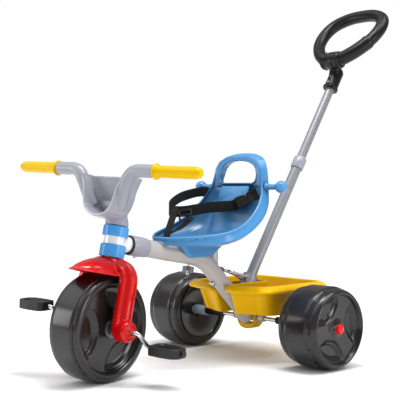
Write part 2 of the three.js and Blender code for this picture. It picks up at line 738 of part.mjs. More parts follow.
function loopPath() {
  const half = [[24, 3], [58, 30], [84, 70], [91, 112], [78, 150], [42, 172]];
  const points = [
    [0, 0], ...half, [0, 177], ...half.map(([x, z]) => [-x, z]).reverse(),
  ].map(([x, z]) => new THREE.Vector3(x, 0, z));
  return new THREE.CatmullRomCurve3(points, true);
}

function handleRing() {
  return loopFrame(hoop(loopPath(), 30, loop.tube, 12));
}

// The hub: a socket on the pole, a neck that leads forward, and a clamp round the loop's foot.
function hubBody() {
  const clamp = loopFrame(rod(21.5, -27, 27, "x", 20));
  const socket = turned([
    [0, poleTop - 4], [18.5, poleTop - 4], [18.5, poleTop + 2], [16, poleTop + 5],
    [15.5, poleTop + 40], [0, poleTop + 46],
  ], "z", 20);
  const neck = skinned([
    roundedRectangle(15, -16, 14, 6, 2).map(([x, y]) => [x, y, poleTop + 10]),
    roundedRectangle(18, -42, 0, 8, 2).map(([x, y]) => [x, y, poleTop + 62]),
  ], ([x, y]) => [x, y]);
  return union([clamp, socket, neck]);
}

function handleHub() {
  const ringRoom = loopFrame(hoop(loopPath(), 30, loop.tube + 2 * gap, 12));
  const poleRoom = rod(pole.upperOuter + gap, poleTop - 40, poleTop + 22, "z", 24);
  return cut(hubBody(), [ringRoom, poleRoom]);
}

// ---------- seat ----------
// The rim of the seat, from the middle of the front lip round the rider's left to the top of the
// back: each row is a point, then how far the rim's flange turns outwards, backwards and up.
const seatRim = [
  [0, -290, 282, 0, -4, -13], [18, -280, 283, 0, -4, -13], [36, -264, 284, 1, -3, -14],
  [60, -243, 286, 2, 0, -15], [84, -217, 289, 3, 0, -16], [101, -190, 293, 4, 0, -16],
  [108, -163, 300, 5, 2, -17], [108, -134, 311, 6, 5, -18], [104, -104, 328, 7, 9, -17],
  [98, -76, 352, 8, 14, -15], [90, -57, 376, 8, 17, -11], [81, -46, 398, 6, 18, -6],
  [76, -41, 420, 5, 18, -2], [71, -38, 439, 4, 18, 1], [60, -35, 456, 3, 18, 3],
  [36, -33, 466, 2, 18, 4], [0, -32, 469, 0, 18, 4],
];
const seatMiddle = { y: -165, z: 266 };

// One closed loop of the bowl. round goes from 0 at its middle to 1 at the rim and follows a
// quarter of a rounded square, flange goes from 0 at the rim to 1 at the flange's edge.
function seatLoop(round, flange, offset) {
  const half = seatRim.map(([x, y, z, outwards, backwards, upwards]) => {
    const wide = Math.sin((round * Math.PI) / 2) ** 0.8;
    const tall = 1 - Math.cos((round * Math.PI) / 2) ** 0.75;
    return [
      x * wide + flange * outwards,
      seatMiddle.y + (y - seatMiddle.y) * wide + flange * backwards + offset * 0.5 * wide,
      seatMiddle.z + (z - seatMiddle.z) * tall + flange * upwards - offset,
    ];
  });
  return [...half, ...half.slice(1, -1).reverse().map(([x, y, z]) => [-x, y, z])];
}

function seatBowl() {
  const { thickness } = pan;
  const under = [0.2, 0.55, 0.82].map((round) => seatLoop(round, 0, thickness));
  const rim = [[0.93, 0.85], [1, 1], [1, 0.06], [0.985, 0]].map(([r, f]) => seatLoop(r, f, 0));
  const inside = [0.91, 0.78, 0.55, 0.2].map((round) => seatLoop(round, 0, 0));
  return skinned([...under, ...rim, ...inside], ([x, y]) => [x, y]);
}

function seatShell() {
  const shell = seatBowl();
  const half = [[50, 404], [56, 409], [59, 422], [55, 437], [43, 449], [20, 454]];
  const hold = plate([...half, ...half.map(([x, z]) => [-x, z]).reverse()], 120)
    .rotateX(Math.PI / 2).translate(0, -30, 0);
  const backPlate = plate([[-79, 396], [-75, 437], [-61, 454], [-36, 465], [36, 465], [61, 454],
    [75, 437], [79, 396]].reverse(), 8).rotateX(Math.PI / 2).translate(0, -32, 0);
  const pedestal = skinned([
    roundedRectangle(25, -212, -142, 10, 3).map(([x, y]) => [x, y, 240]),
    roundedRectangle(34, -245, -112, 12, 3).map(([x, y]) => [x, y, 266]),
  ], ([x, y]) => [x, y]);
  const saddle = onSpine(rod(spine.outer + gap, -140, 140, "y", 24), -180);
  const sleeveRoom = onSpine(rod(sleeve.outer + 0.5, -130, -50, "y", 24), -180);
  const boltRoom = onSpine(rod(seatBolt.radius + gap, -40, 23.5, "z", 16), seatBolt.y);
  const tools = [hold, saddle, sleeveRoom, spineBar(spine.outer + gap, 20), boltRoom];
  return cut(union([shell, backPlate, pedestal]), tools);
}

function sidePeg(side) {
  const profile = [[0, 0], [6.5, 0], [6.5, 28], ...arc(0, 41, 14, -65, 90, 6).slice(0, -1), [0, 55]];
  return turned(profile, "x", 16)
    .rotateZ(side < 0 ? Math.PI : 0)
    .translate(side * 88.8, -34, 394);
}

// A flat strap through points; its width lies as near as it can to the direction across.
function webbing(points, across) {
  const curve = new THREE.CatmullRomCurve3(points.map((point) => new THREE.Vector3(...point)));
  const corners = [[-1, -1], [1, -1], [1, 1], [-1, 1]];
  const steps = 3 * points.length;
  const sections = [];
  for (let i = 0; i <= steps; i += 1) {
    const at = curve.getPointAt(i / steps);
    const along = curve.getTangentAt(i / steps);
    const wide = across.clone().addScaledVector(along, -across.dot(along)).normalize();
    const thick = new THREE.Vector3().crossVectors(along, wide);
    sections.push(corners.map(([w, t]) =>
      at.clone()
        .addScaledVector(wide, (w * strap.width) / 2)
        .addScaledVector(thick, (t * strap.thickness) / 2)
        .toArray(),
    ));
  }
  const [first, last] = [sections[0], sections.at(-1)];
  return skinned(sections, (point) =>
    corners[(first.includes(point) ? first : last).indexOf(point)]);
}

// The near end of the waist belt: everything on this line lies between its two distances.
const buckleLine = { from: new THREE.Vector3(48, -92, 357), to: new THREE.Vector3(84, -60, 380) };

function onBuckleLine(distance) {
  const { from, to } = buckleLine;
  return from.clone().addScaledVector(to.clone().sub(from).normalize(), distance);
}

function buckleBlock(start, end, width, thickness) {
  const along = buckleLine.to.clone().sub(buckleLine.from).normalize();
  const up = new THREE.Vector3(0, 0, 1);
  const wide = up.addScaledVector(along, -up.dot(along)).normalize();
  const thick = new THREE.Vector3().crossVectors(along, wide);
  const turn = new THREE.Matrix4().makeBasis(along, wide, thick);
  const chamfer = 4;
  const [half, length] = [width / 2, (end - start) / 2];
  const outline = [
    [-length, -half + chamfer], [-length + chamfer, -half], [length - chamfer, -half],
    [length, -half + chamfer], [length, half - chamfer], [length - chamfer, half],
    [-length + chamfer, half], [-length, half - chamfer],
  ];
  const middle = onBuckleLine((start + end) / 2);
  return plate(outline, thickness).applyMatrix4(turn.setPosition(middle));
}

function harnessParts(group) {
  const upright = new THREE.Vector3(0, 0, 1);
  const waist = webbing([
    [-84, -64, 384], [-76, -120, 378], [-52, -190, 362], [-24, -228, 345], [-2, -212, 341],
    [20, -150, 349], onBuckleLine(-12).toArray(), onBuckleLine(-1).toArray(),
  ], upright);
  const crotch = webbing([
    [0, -256, 288], [0, -248, 312], [0, -237, 336], [0, -231, 350],
  ], new THREE.Vector3(1, 0, 0));
  const stub = webbing([onBuckleLine(40.6), onBuckleLine(46), onBuckleLine(50)]
    .map((point) => point.toArray()), upright);
  add(group, "crotch_strap", crotch, look.webbing);
  add(group, "waist_strap_right", waist, look.webbing);
  add(group, "waist_strap_left", stub, look.webbing);
  add(group, "buckle_body", buckleBlock(0, 24, 28, 9), look.black);
  add(group, "buckle_tongue", buckleBlock(24 + gap, 40, 24, 7), look.black);
}

function seatParts() {
  const group = new THREE.Group();
  add(group, "seat_shell", seatShell(), look.blue);
  add(group, "side_peg_left", sidePeg(1), look.blue);
  add(group, "side_peg_right", sidePeg(-1), look.blue);
  const bolt = onSpine(rod(seatBolt.radius, -42, 23, "z", 14), seatBolt.y);
  add(group, "seat_bolt", bolt, look.steel);
  harnessParts(group);
  return group;
}

function wingNut() {
  const collar = ring(7, seatBolt.radius + run, -32, -22, "z", 18);
  const wings = box(34, 3, 14, [0, 0, -30]);
  const room = rod(seatBolt.radius + run, -50, 0, "z", 14);
  return onSpine(geometryOf(cut(union([collar, wings]), [room])), seatBolt.y);
}

// ---------- assembly ----------
const tricycle = new THREE.Group();
tricycle.add(spineParts(), rearAxle(), rearWheel(1), rearWheel(-1), socketParts(), lockBail());
tricycle.add(poleParts(), seatParts());
add(tricycle, "seat_post", seatPost(), look.silver);
add(tricycle, "wing_nut", wingNut(), look.steel);
add(tricycle, "bin", binShape(), look.yellow);

const leaning = new THREE.Group();
leaning.position.set(0, front.y, front.z);
leaning.rotation.x = -steering.lean;
leaning.add(headParts());
const steered = new THREE.Group();
steered.rotation.z = steering.turned;
steered.add(steeringParts(), frontWheelParts(), pedalParts(1), pedalParts(-1));
leaning.add(steered);
tricycle.add(leaning);

// The whole is moved along Y so that its box is centred on the origin.
const extent = new THREE.Box3().setFromObject(tricycle, true);
tricycle.position.y = -(extent.min.y + extent.max.y) / 2;

export default tricycle;
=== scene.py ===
"""Looks of the children's tricycle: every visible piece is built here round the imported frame.

Sizes are in millimetres in each piece's own frame; a placing matrix turns them into metres.
"""
import json
import math

import bmesh
import bpy
from mathutils import Matrix, Vector


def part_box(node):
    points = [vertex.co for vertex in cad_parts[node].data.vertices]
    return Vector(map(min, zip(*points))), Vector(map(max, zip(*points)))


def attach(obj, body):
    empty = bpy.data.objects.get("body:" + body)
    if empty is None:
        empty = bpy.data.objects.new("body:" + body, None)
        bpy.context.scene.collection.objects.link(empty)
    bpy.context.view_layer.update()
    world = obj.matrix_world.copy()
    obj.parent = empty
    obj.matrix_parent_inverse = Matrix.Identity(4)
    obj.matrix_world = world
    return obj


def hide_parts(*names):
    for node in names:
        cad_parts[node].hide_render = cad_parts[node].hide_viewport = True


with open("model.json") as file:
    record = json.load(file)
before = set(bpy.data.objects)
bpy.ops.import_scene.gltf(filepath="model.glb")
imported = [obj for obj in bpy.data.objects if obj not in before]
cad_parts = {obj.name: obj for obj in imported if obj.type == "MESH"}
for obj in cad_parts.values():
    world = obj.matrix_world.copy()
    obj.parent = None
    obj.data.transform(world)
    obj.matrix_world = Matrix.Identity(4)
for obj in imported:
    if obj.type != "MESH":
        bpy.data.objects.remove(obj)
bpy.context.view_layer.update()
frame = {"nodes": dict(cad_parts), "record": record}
RECORD = frame["record"]
JOINTS = {joint["name"]: joint for joint in RECORD["behaviour"]["joints"]}


# ---------- places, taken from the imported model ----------
def middle(node):
    low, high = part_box(node)
    return (low + high) / 2


MM = Matrix.Scale(0.001, 4)
AXLE = middle("rear_axle")
SHIFT = Matrix.Translation((0, AXLE.y, 0)) @ MM
STEER_AXIS = Vector(JOINTS["steering_turn"]["axis"])
LEAN = math.atan2(STEER_AXIS.y, STEER_AXIS.z)
SPIN_AXIS = Vector(JOINTS["front_wheel_spin"]["axis"])
LEANING = Matrix.Translation(middle("crank_axle")) @ Matrix.Rotation(-LEAN, 4, "X")
TURN = math.asin((LEANING.to_3x3().inverted() @ SPIN_AXIS).y)
STEERED = LEANING @ Matrix.Rotation(TURN, 4, "Z") @ MM
POLE_AXIS = Vector(JOINTS["pole_lift"]["axis"])
POLE_LEAN = math.atan2(POLE_AXIS.y, POLE_AXIS.z)
POLE_JOINT_AT = 327
POLE = (
    Matrix.Translation(middle("pole_joint") - POLE_AXIS * POLE_JOINT_AT * 0.001)
    @ Matrix.Rotation(-POLE_LEAN, 4, "X")
    @ MM
)
SIDES = ((1, "left"), (-1, "right"))


# ---------- camera, light and floor ----------
def make_camera():
    azimuth, elevation = math.radians(47.01), math.radians(0.936)
    back = Vector((
        math.sin(azimuth) * math.cos(elevation),
        -math.cos(azimuth) * math.cos(elevation),
        math.sin(elevation),
    ))
    camera = bpy.data.objects.new("camera", bpy.data.cameras.new("camera"))
    camera.data.lens = 84.5
    camera.data.sensor_width = 36
    camera.location = Vector((1.5283, AXLE.y - 1.5839, 0.3992))
    camera.rotation_euler = (-back).to_track_quat("-Z", "Y").to_euler()
    bpy.context.collection.objects.link(camera)
    bpy.context.scene.camera = camera


def area_light(name, at, size, power, target=(0, 0, 0.3)):
    light = bpy.data.objects.new(name, bpy.data.lights.new(name, "AREA"))
    light.data.shape = "RECTANGLE"
    light.data.size, light.data.size_y = size
    light.data.energy = power
    light.location = at
    light.rotation_euler = (Vector(at) - Vector(target)).to_track_quat("Z", "Y").to_euler()
    bpy.context.collection.objects.link(light)


def make_world():
    """A white background to look at, and a dimmer one for the object to be lit by."""
    world = bpy.data.worlds.new("studio")
    bpy.context.scene.world = world
    world.use_nodes = True
    tree = world.node_tree
    lit = tree.nodes["Background"]
    lit.inputs["Color"].default_value = (1, 1, 1, 1)
    lit.inputs["Strength"].default_value = 0.34
    seen = node(tree, "ShaderNodeBackground", {"Strength": 1.0})
    seen.inputs["Color"].default_value = (1, 1, 1, 1)
    choose = node(tree, "ShaderNodeMixShader")
    rays = node(tree, "ShaderNodeLightPath")
    tree.links.new(rays.outputs["Is Camera Ray"], choose.inputs["Fac"])
    tree.links.new(lit.outputs["Background"], choose.inputs[1])
    tree.links.new(seen.outputs["Background"], choose.inputs[2])
    tree.links.new(choose.outputs["Shader"], tree.nodes["World Output"].inputs["Surface"])


def make_sun(direction, strength, spread):
    sun = bpy.data.objects.new("sky_panel", bpy.data.lights.new("sky_panel", "SUN"))
    sun.data.energy = strength
    sun.data.angle = math.radians(spread)
    sun.rotation_euler = Vector(direction).to_track_quat("Z", "Y").to_euler()
    bpy.context.collection.objects.link(sun)


def make_stage():
    make_world()
    bpy.context.scene.view_settings.view_transform = "Standard"
    make_sun((0.6, 0.3, 1.3), 1.65, 40)
    make_sun((-0.5, -0.5, 1.3), 0.95, 60)
    area_light("left_box", (-1.3, -2.0, 0.7), (0.6, 0.9), 9)
    area_light("right_box", (2.4, 0.3, 0.7), (0.5, 1.0), 13)
    area_light("top_box", (0.2, -0.2, 2.2), (0.9, 0.4), 22)
    bpy.ops.mesh.primitive_plane_add(size=60)
    floor = bpy.context.object
    floor.name = "floor"
    floor.data.materials.append(floor_material())


def floor_material():
    material, tree, shader = new_shader("studio_floor")
    noise = node(tree, "ShaderNodeTexNoise", {"Scale": 6, "Detail": 3})
    link_ramp(tree, noise.outputs["Fac"], shader.inputs["Roughness"], (0.55, 0.6))
    shader.inputs["Base Color"].default_value = (0.97, 0.97, 0.97, 1)
    shader.inputs["Specular IOR Level"].default_value = 0
    return material


# ---------- materials ----------
def new_shader(name):
    material = bpy.data.materials.new(name)
    material.use_nodes = True
    tree = material.node_tree
    return material, tree, tree.nodes["Principled BSDF"]


def node(tree, kind, inputs=(), **settings):
    made = tree.nodes.new(kind)
    for key, value in settings.items():
        setattr(made, key, value)
    for key, value in dict(inputs).items():
        made.inputs[key].default_value = value
    return made


def linear(colour):
    return [(c / 255 / 12.92) if c / 255 <= 0.04045 else ((c / 255 + 0.055) / 1.055) ** 2.4
            for c in colour]


def link_ramp(tree, source, target, limits):
    """A 0 to 1 value spread over the limits and fed to a socket."""
    spread = node(tree, "ShaderNodeMapRange", {"To Min": limits[0], "To Max": limits[1]})
    tree.links.new(source, spread.inputs["Value"])
    tree.links.new(spread.outputs["Result"], target)


def noise_at(tree, scale, detail=3, stretch=(1, 1, 1)):
    place = node(tree, "ShaderNodeTexCoord")
    mapping = node(tree, "ShaderNodeMapping", {"Scale": stretch})
    noise = node(tree, "ShaderNodeTexNoise", {"Scale": scale, "Detail": detail})
    tree.links.new(place.outputs["Object"], mapping.inputs["Vector"])
    tree.links.new(mapping.outputs["Vector"], noise.inputs["Vector"])
    return noise.outputs["Fac"]


def tint(tree, shader, colour, spread, source):
    """Base colour that drifts a little lighter and darker with the source."""
    mix = node(tree, "ShaderNodeMix", data_type="RGBA")
    base = linear(colour)
    mix.inputs["A"].default_value = (*[c * (1 - spread) for c in base], 1)
    mix.inputs["B"].default_value = (*[min(1, c * (1 + spread)) for c in base], 1)
    tree.links.new(source, mix.inputs["Factor"])
    tree.links.new(mix.outputs["Result"], shader.inputs["Base Color"])


def bump(tree, shader, source, strength, distance):
    made = node(tree, "ShaderNodeBump", {"Strength": strength, "Distance": distance})
    tree.links.new(source, made.inputs["Height"])
    tree.links.new(made.outputs["Normal"], shader.inputs["Normal"])


def paint_hollow_shade(tree, shader, amount):
    """Painted shade: base colour darkened where ambient occlusion finds the surface closed in by
    its surroundings, standing in for the shade that falls there.
    """
    around = node(tree, "ShaderNodeAmbientOcclusion", {"Distance": 0.15})
    share = node(tree, "ShaderNodeMapRange", {"From Min": 0.3, "To Min": 1 - amount, "To Max": 1})
    scale = node(tree, "ShaderNodeVectorMath", operation="SCALE")
    tree.links.new(around.outputs["AO"], share.inputs["Value"])
    tree.links.new(shader.inputs["Base Color"].links[0].from_socket, scale.inputs[0])
    tree.links.new(share.outputs["Result"], scale.inputs["Scale"])
    tree.links.new(scale.outputs["Vector"], shader.inputs["Base Color"])


def plastic(name, colour, roughness, grain=1600, relief=0.03, spread=0.03, gloss=0.5, pure=0.0,
            hollow_shade=0.0):
    """Moulded plastic: slow colour drift, slightly uneven gloss and a fine moulded grain; pure
    tints the gloss with the colour, and the last argument paints shade into the colour in
    closed-in places."""
    material, tree, shader = new_shader(name)
    tint(tree, shader, colour, spread, noise_at(tree, 5, 2))
    # Painted shade: the base colour is darkened in closed-in places.
    if hollow_shade:
        paint_hollow_shade(tree, shader, hollow_shade)
    link_ramp(tree, noise_at(tree, 22, 3), shader.inputs["Roughness"],
              (roughness * 0.92, roughness * 1.1))
    shader.inputs["Specular IOR Level"].default_value = gloss
    shader.inputs["Specular Tint"].default_value = (
        *[1 - pure * (1 - c) for c in linear(colour)], 1)
    bump(tree, shader, noise_at(tree, grain, 2), relief, 0.0002)
    return material


def metal(name, colour, roughness, metallic=1.0, stretch=(1, 1, 1), relief=0.04):
    """Painted or plated metal with fine drawn lines along one direction."""
    material, tree, shader = new_shader(name)
    tint(tree, shader, colour, 0.06, noise_at(tree, 14))
    lines = noise_at(tree, 260, 3, stretch)
    link_ramp(tree, lines, shader.inputs["Roughness"], (roughness * 0.75, roughness * 1.35))
    shader.inputs["Metallic"].default_value = metallic
    bump(tree, shader, lines, relief, 0.0003)
    return material


def webbing_material():
    """Flat woven webbing: ribs across the strap and warp threads along it, from its own map."""
    material, tree, shader = new_shader("belt_webbing")
    place = node(tree, "ShaderNodeTexCoord")
    ribs = node(tree, "ShaderNodeTexWave", {"Scale": 95.0, "Distortion": 0.3, "Detail": 1.0},
                bands_direction="X")
    warp = node(tree, "ShaderNodeTexWave", {"Scale": 70.0, "Distortion": 0.2, "Detail": 1.0},
                bands_direction="Y")
    for wave in (ribs, warp):
        tree.links.new(place.outputs["UV"], wave.inputs["Vector"])
    weave = node(tree, "ShaderNodeMath", operation="MULTIPLY")
    tree.links.new(ribs.outputs["Fac"], weave.inputs[0])
    tree.links.new(warp.outputs["Fac"], weave.inputs[1])
    tint(tree, shader, (22, 19, 18), 0.4, weave.outputs["Value"])
    link_ramp(tree, noise_at(tree, 80), shader.inputs["Roughness"], (0.7, 0.95))
    shader.inputs["Sheen Weight"].default_value = 0.04
    shader.inputs["Specular IOR Level"].default_value = 0.25
    bump(tree, shader, weave.outputs["Value"], 0.5, 0.0006)
    return material


def make_materials():
    # The blue, yellow and wheel plastics carry painted shade in their closed-in places.
    return {
        "blue": plastic("blue_plastic", (76, 144, 200), 0.22, gloss=0.5, pure=0.2, hollow_shade=0.75),
        "ring_blue": plastic("ring_blue_plastic", (72, 154, 222), 0.22, pure=0.3),
        "red": plastic("red_plastic", (198, 4, 8), 0.13, relief=0.01, spread=0.03, pure=0.3),
        "yellow": plastic("yellow_plastic", (240, 184, 0), 0.3, relief=0.02, gloss=0.4, pure=0.85,
                          hollow_shade=0.4),
        "grip": plastic("grip_yellow_plastic", (224, 182, 0), 0.26, relief=0.01, gloss=0.4,
                        pure=0.85),
        "grey": plastic("grey_plastic", (150, 151, 162), 0.24, relief=0.02),
        # Lighter than the panel's grey: a painted highlight along the scoop's front ridge.
        "edge": plastic("grey_ridge_painted_highlight", (176, 177, 188), 0.16, relief=0.01),
        "spacer": plastic("spacer_grey_plastic", (150, 168, 180), 0.4),
        "wheel": plastic("wheel_plastic", (36, 33, 34), 0.2, relief=0.02, spread=0.06, gloss=0.45,
                         hollow_shade=0.7),
        "black": plastic("black_plastic", (15, 15, 16), 0.33, 1100, 0.1, 0.1, 0.28),
        "pedal": plastic("pedal_plastic", (26, 25, 26), 0.4, 900, 0.1, 0.1, 0.4),
        "rubber": plastic("seal_rubber", (16, 16, 17), 0.6, relief=0.1),
        "cap": plastic("cap_plastic", (226, 26, 24), 0.22, relief=0.02, pure=0.4),
        "nylon": plastic("bush_nylon", (214, 213, 206), 0.5),
        "frame": metal("frame_paint", (184, 179, 177), 0.3, 0.15, (1, 6, 6)),
        "head": metal("head_tube_plating", (240, 240, 242), 0.2, 0.15, (6, 6, 1)),
        "pole": metal("pole_metal", (140, 140, 145), 0.34, 0.4, (30, 30, 1)),
        "steel": metal("bright_steel", (208, 210, 213), 0.16, 1.0, (1, 30, 30)),
        "zinc": metal("zinc_plate", (108, 108, 111), 0.35, 0.8, (1, 30, 30)),
        "webbing": webbing_material(),
    }


# ---------- meshes ----------
def make_piece(name, points, faces, place, material, auto=40):
    """A mesh piece from points in its own millimetres; its faces are turned outwards."""
    mesh = bpy.data.meshes.new(name)
    mesh.from_pydata([Vector(p) for p in points], [], faces)
    mesh.transform(place)
    tidy_mesh(mesh, auto)
    made = bpy.data.objects.new(name, mesh)
    bpy.context.collection.objects.link(made)
    mesh.materials.append(material)
    return made


def tidy_mesh(mesh, auto):
    work = bmesh.new()
    work.from_mesh(mesh)
    bmesh.ops.remove_doubles(work, verts=work.verts, dist=1e-6)
    bmesh.ops.recalc_face_normals(work, faces=work.faces)
    work.to_mesh(mesh)
    work.free()
    mesh.shade_smooth()
    mesh.set_sharp_from_angle(angle=math.radians(auto))


def merged(parts):
    """Several parts as one list of points and one of faces."""
    points, faces = [], []
    for part_points, part_faces in parts:
        start = len(points)
        points += part_points
        faces += [tuple(start + k for k in face) for face in part_faces]
    return points, faces


def skin(rows, closed=False, caps=True):
    """Points and faces over rows of points; every row is a closed loop of one length."""
    count = len(rows[0])
    points = [p for row in rows for p in row]
    faces = []
    last = len(rows) if closed else len(rows) - 1
    for i in range(last):
        this, following = i * count, (i + 1) % len(rows) * count
        for j in range(count):
            k = (j + 1) % count
            faces.append((this + j, this + k, following + k, following + j))
    if caps and not closed:
        faces.append(tuple(range(count))[::-1])
        faces.append(tuple(range(len(points) - count, len(points))))
    return points, faces


def placed(part, matrix):
    """A part with its points carried through a matrix."""
    points, faces = part
    return [matrix @ Vector(p) for p in points], faces


def shifted(part, move):
    points, faces = part
    return [Vector(p) + Vector(move) for p in points], faces


def flipped(points):
    """The mirror image of (x, other) points, last point first, to close an outline."""
    return [(-x, other) for x, other in reversed(points)]


def ring_angles(count):
    return [2 * math.pi * k / count for k in range(count)]


def circle(radius, steps):
    return [(radius * math.cos(a), radius * math.sin(a)) for a in ring_angles(steps)]


def lathe(profile, steps, axis="z"):
    """Rows round the z or x axis from (radius, height) points; a zero radius closes the end."""
    rows = []
    for radius, height in profile:
        ring = circle(radius, steps)
        rows.append([(c, s, height) if axis == "z" else (height, c, s) for c, s in ring])
    return rows


def arc(cx, cy, radius, start, end, steps):
    turns = [math.radians(start + (end - start) * i / steps) for i in range(steps + 1)]
    return [(cx + radius * math.cos(a), cy + radius * math.sin(a)) for a in turns]


def rounded_rectangle(half, y0, y1, radius, steps=6):
    return [
        *arc(half - radius, y0 + radius, radius, -90, 0, steps),
        *arc(half - radius, y1 - radius, radius, 0, 90, steps),
        *arc(-half + radius, y1 - radius, radius, 90, 180, steps),
        *arc(-half + radius, y0 + radius, radius, 180, 270, steps),
    ]


def smooth_path(points, steps, closed=False):
    """Catmull-Rom through points, with the same number of steps between neighbours."""
    path = []
    count = len(points)
    for i in range(count if closed else count - 1):
        around = []
        for k in range(i - 1, i + 3):
            around.append(Vector(points[k % count if closed else min(max(k, 0), count - 1)]))
        for k in range(steps):
            t = k / steps
            a, b, c, d = around
            path.append(0.5 * (2 * b + (c - a) * t + (2 * a - 5 * b + 4 * c - d) * t * t
                               + (3 * b - a - 3 * c + d) * t ** 3))
    return path if closed else [*path, Vector(points[-1])]


def sweep(path, section, side, closed=False):
    """Rows of a section carried along a path. section(i) lists (across, out) pairs, where
    across lies along the direction side and out is square to it and to the path."""
    rows = []
    last = len(path) - 1
    for i, point in enumerate(path):
        before = path[i - 1] if i > 0 or closed else path[0]
        after = path[(i + 1) % len(path)] if i < last or closed else path[last]
        along = (after - before).normalized()
        across = (side - side.dot(along) * along).normalized()
        out = along.cross(across)
        rows.append([point + across * u + out * v for u, v in section(i)])
    return rows


def fuse(name, parts, place, material, voxel, smooth=4, cuts=(), added=()):
    """Closed parts joined into one moulding: cut, remeshed together with what is added, and
    eased at the joins."""
    made = make_piece(name, *merged(parts), place, material)
    for k, cut in enumerate(cuts):
        tool = make_piece(f"{name}_cut_{k}", *cut, place, material)
        step = made.modifiers.new("cut", "BOOLEAN")
        step.operation = "DIFFERENCE"
        step.solver = "EXACT"
        step.use_self = True
        step.object = tool
        bake(made)
        bpy.data.objects.remove(tool)
    if added:
        made.data = joined(made, make_piece(name + "_added", *merged(added), place, material))
    remesh = made.modifiers.new("remesh", "REMESH")
    remesh.mode = "VOXEL"
    remesh.voxel_size = voxel * 0.001
    ease = made.modifiers.new("ease", "SMOOTH")
    ease.factor = 0.5
    ease.iterations = smooth
    bake(made)
    made.data.shade_smooth()
    return made


def joined(made, other):
    """One mesh of two objects; the second object is removed."""
    work = bmesh.new()
    work.from_mesh(made.data)
    work.from_mesh(other.data)
    mesh = made.data.copy()
    work.to_mesh(mesh)
    work.free()
    bpy.data.objects.remove(other)
    return mesh


def bake(made):
    """The modifiers so far become the mesh."""
    graph = bpy.context.evaluated_depsgraph_get()
    mesh = bpy.data.meshes.new_from_object(made.evaluated_get(graph))
    made.modifiers.clear()
    made.data = mesh


def finish_piece(made, body, slot, *nodes):
    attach(made, body)
    if nodes:
        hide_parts(*nodes)


def restyle(node_name, material, slot, body, bevel):
    """A CAD node's own shape with welded faces, eased edges and a finished material."""
    source = frame["nodes"][node_name].data
    points = [v.co.copy() for v in source.vertices]
    faces = [tuple(p.vertices) for p in source.polygons]
    made = make_piece("fine_" + node_name, points, faces, Matrix.Identity(4), material, auto=32)
    if bevel:
        edge = made.modifiers.new("edges", "BEVEL")
        edge.width = bevel * 0.001
        edge.segments = 2
        edge.limit_method = "ANGLE"
        edge.angle_limit = math.radians(35)
        edge.harden_normals = True
    finish_piece(made, body, slot, node_name)


# ---------- wheels ----------
def lens_distance(r, a, outer, nearest, spread=40):
    """How far inside a leaf-shaped pocket a point of the disc is; negative is outside."""
    tip = (outer * math.cos(math.radians(spread)), outer * math.sin(math.radians(spread)))
    centre = (tip[0] ** 2 + tip[1] ** 2 - nearest ** 2) / (2 * (tip[0] - nearest))
    x, y = r * math.cos(a), r * math.sin(a)
    return min(outer - r, centre - nearest - math.hypot(x - centre, y))


def pocket_depth(inside, deepest):
    """A raised lip, a sloping band, a small step and then the floor of the pocket."""
    stations = [(-1.8, 0), (-0.6, -0.9), (0.4, 0.2), (1.4, 2.6), (8.5, 0.72 * deepest),
                (9.2, 0.7 * deepest), (10.4, deepest), (99, deepest)]
    if inside <= stations[0][0]:
        return 0
    for (a, va), (b, vb) in zip(stations, stations[1:]):
        if inside <= b:
            return va + (vb - va) * (inside - a) / (b - a)
    return deepest


def disc_side(rings, outer, nearest, deepest, first_angle, steps):
    """Rows of a wheel's disc with its three pockets pressed in; rings are (radius, x) pairs."""
    rows = []
    for radius, x in rings:
        row = []
        for a in ring_angles(steps):
            depth = 0
            for turn in (0, 120, 240):
                off = a - math.radians(first_angle + turn)
                off = (off + math.pi) % (2 * math.pi) - math.pi
                if abs(off) < math.radians(60):
                    depth = pocket_depth(lens_distance(radius, off, outer, nearest), deepest)
            row.append((x - depth, radius * math.cos(a), radius * math.sin(a)))
        rows.append(row)
    return rows


def spaced(start, end, count):
    (r0, x0), (r1, x1) = start, end
    return [(r0 + (r1 - r0) * i / count, x0 + (x1 - x0) * i / count) for i in range(count + 1)]


def shoulder(radius, half, broad):
    """From the edge of the tread round to the side wall, with a groove between them; broad
    stretches the groove and the rounding over more of the wheel's width."""
    stations = [(0, 34), (0.1, 28), (0.9, 24.6), (2.6, 22.6), (3.9, 21.6), (4.1, 20), (3.5, 18),
                (3.9, 12), (5.4, 6.6), (8, 2.8), (10.6, 0.9), (12.4, 0)]
    return [(radius - drop, half - inward * broad) for drop, inward in stations]


WHEEL_STEPS = 180


def rear_wheel_rows():
    """Rows from the bore over the dished outer face and the tread to the inner face."""
    half, dish, sink = REAR["width"] / 2, REAR["dish"], REAR["sink"]
    boss, bore, end = REAR["boss"], REAR["bore"], REAR["hub"]
    wall = [(dish + 2, half), (dish + 0.5, half - 0.8), (dish - 1.4, half - sink * 0.6)]
    rings = spaced((dish - 3, half - sink), (boss + 6, half - sink - 2), 34)
    disc = disc_side(rings, dish - 4.5, boss + 12, REAR["pocket"], REAR["angle"], WHEEL_STEPS)
    hub = [(boss + 4, half - sink - 1.2), (boss - 4.5, end - 1.6), (boss - 6, end), (bore, end)]
    tread = shoulder(REAR["radius"], half, 1)
    inner_face = [(r, -x) for r, x in (*tread, *REAR["inner"])]
    return [
        *lathe([(bore, 0), *reversed(hub)], WHEEL_STEPS, "x"),
        *disc[::-1],
        *lathe([*reversed(wall), *reversed(tread)], WHEEL_STEPS, "x"),
        *lathe(inner_face, WHEEL_STEPS, "x"),
    ]


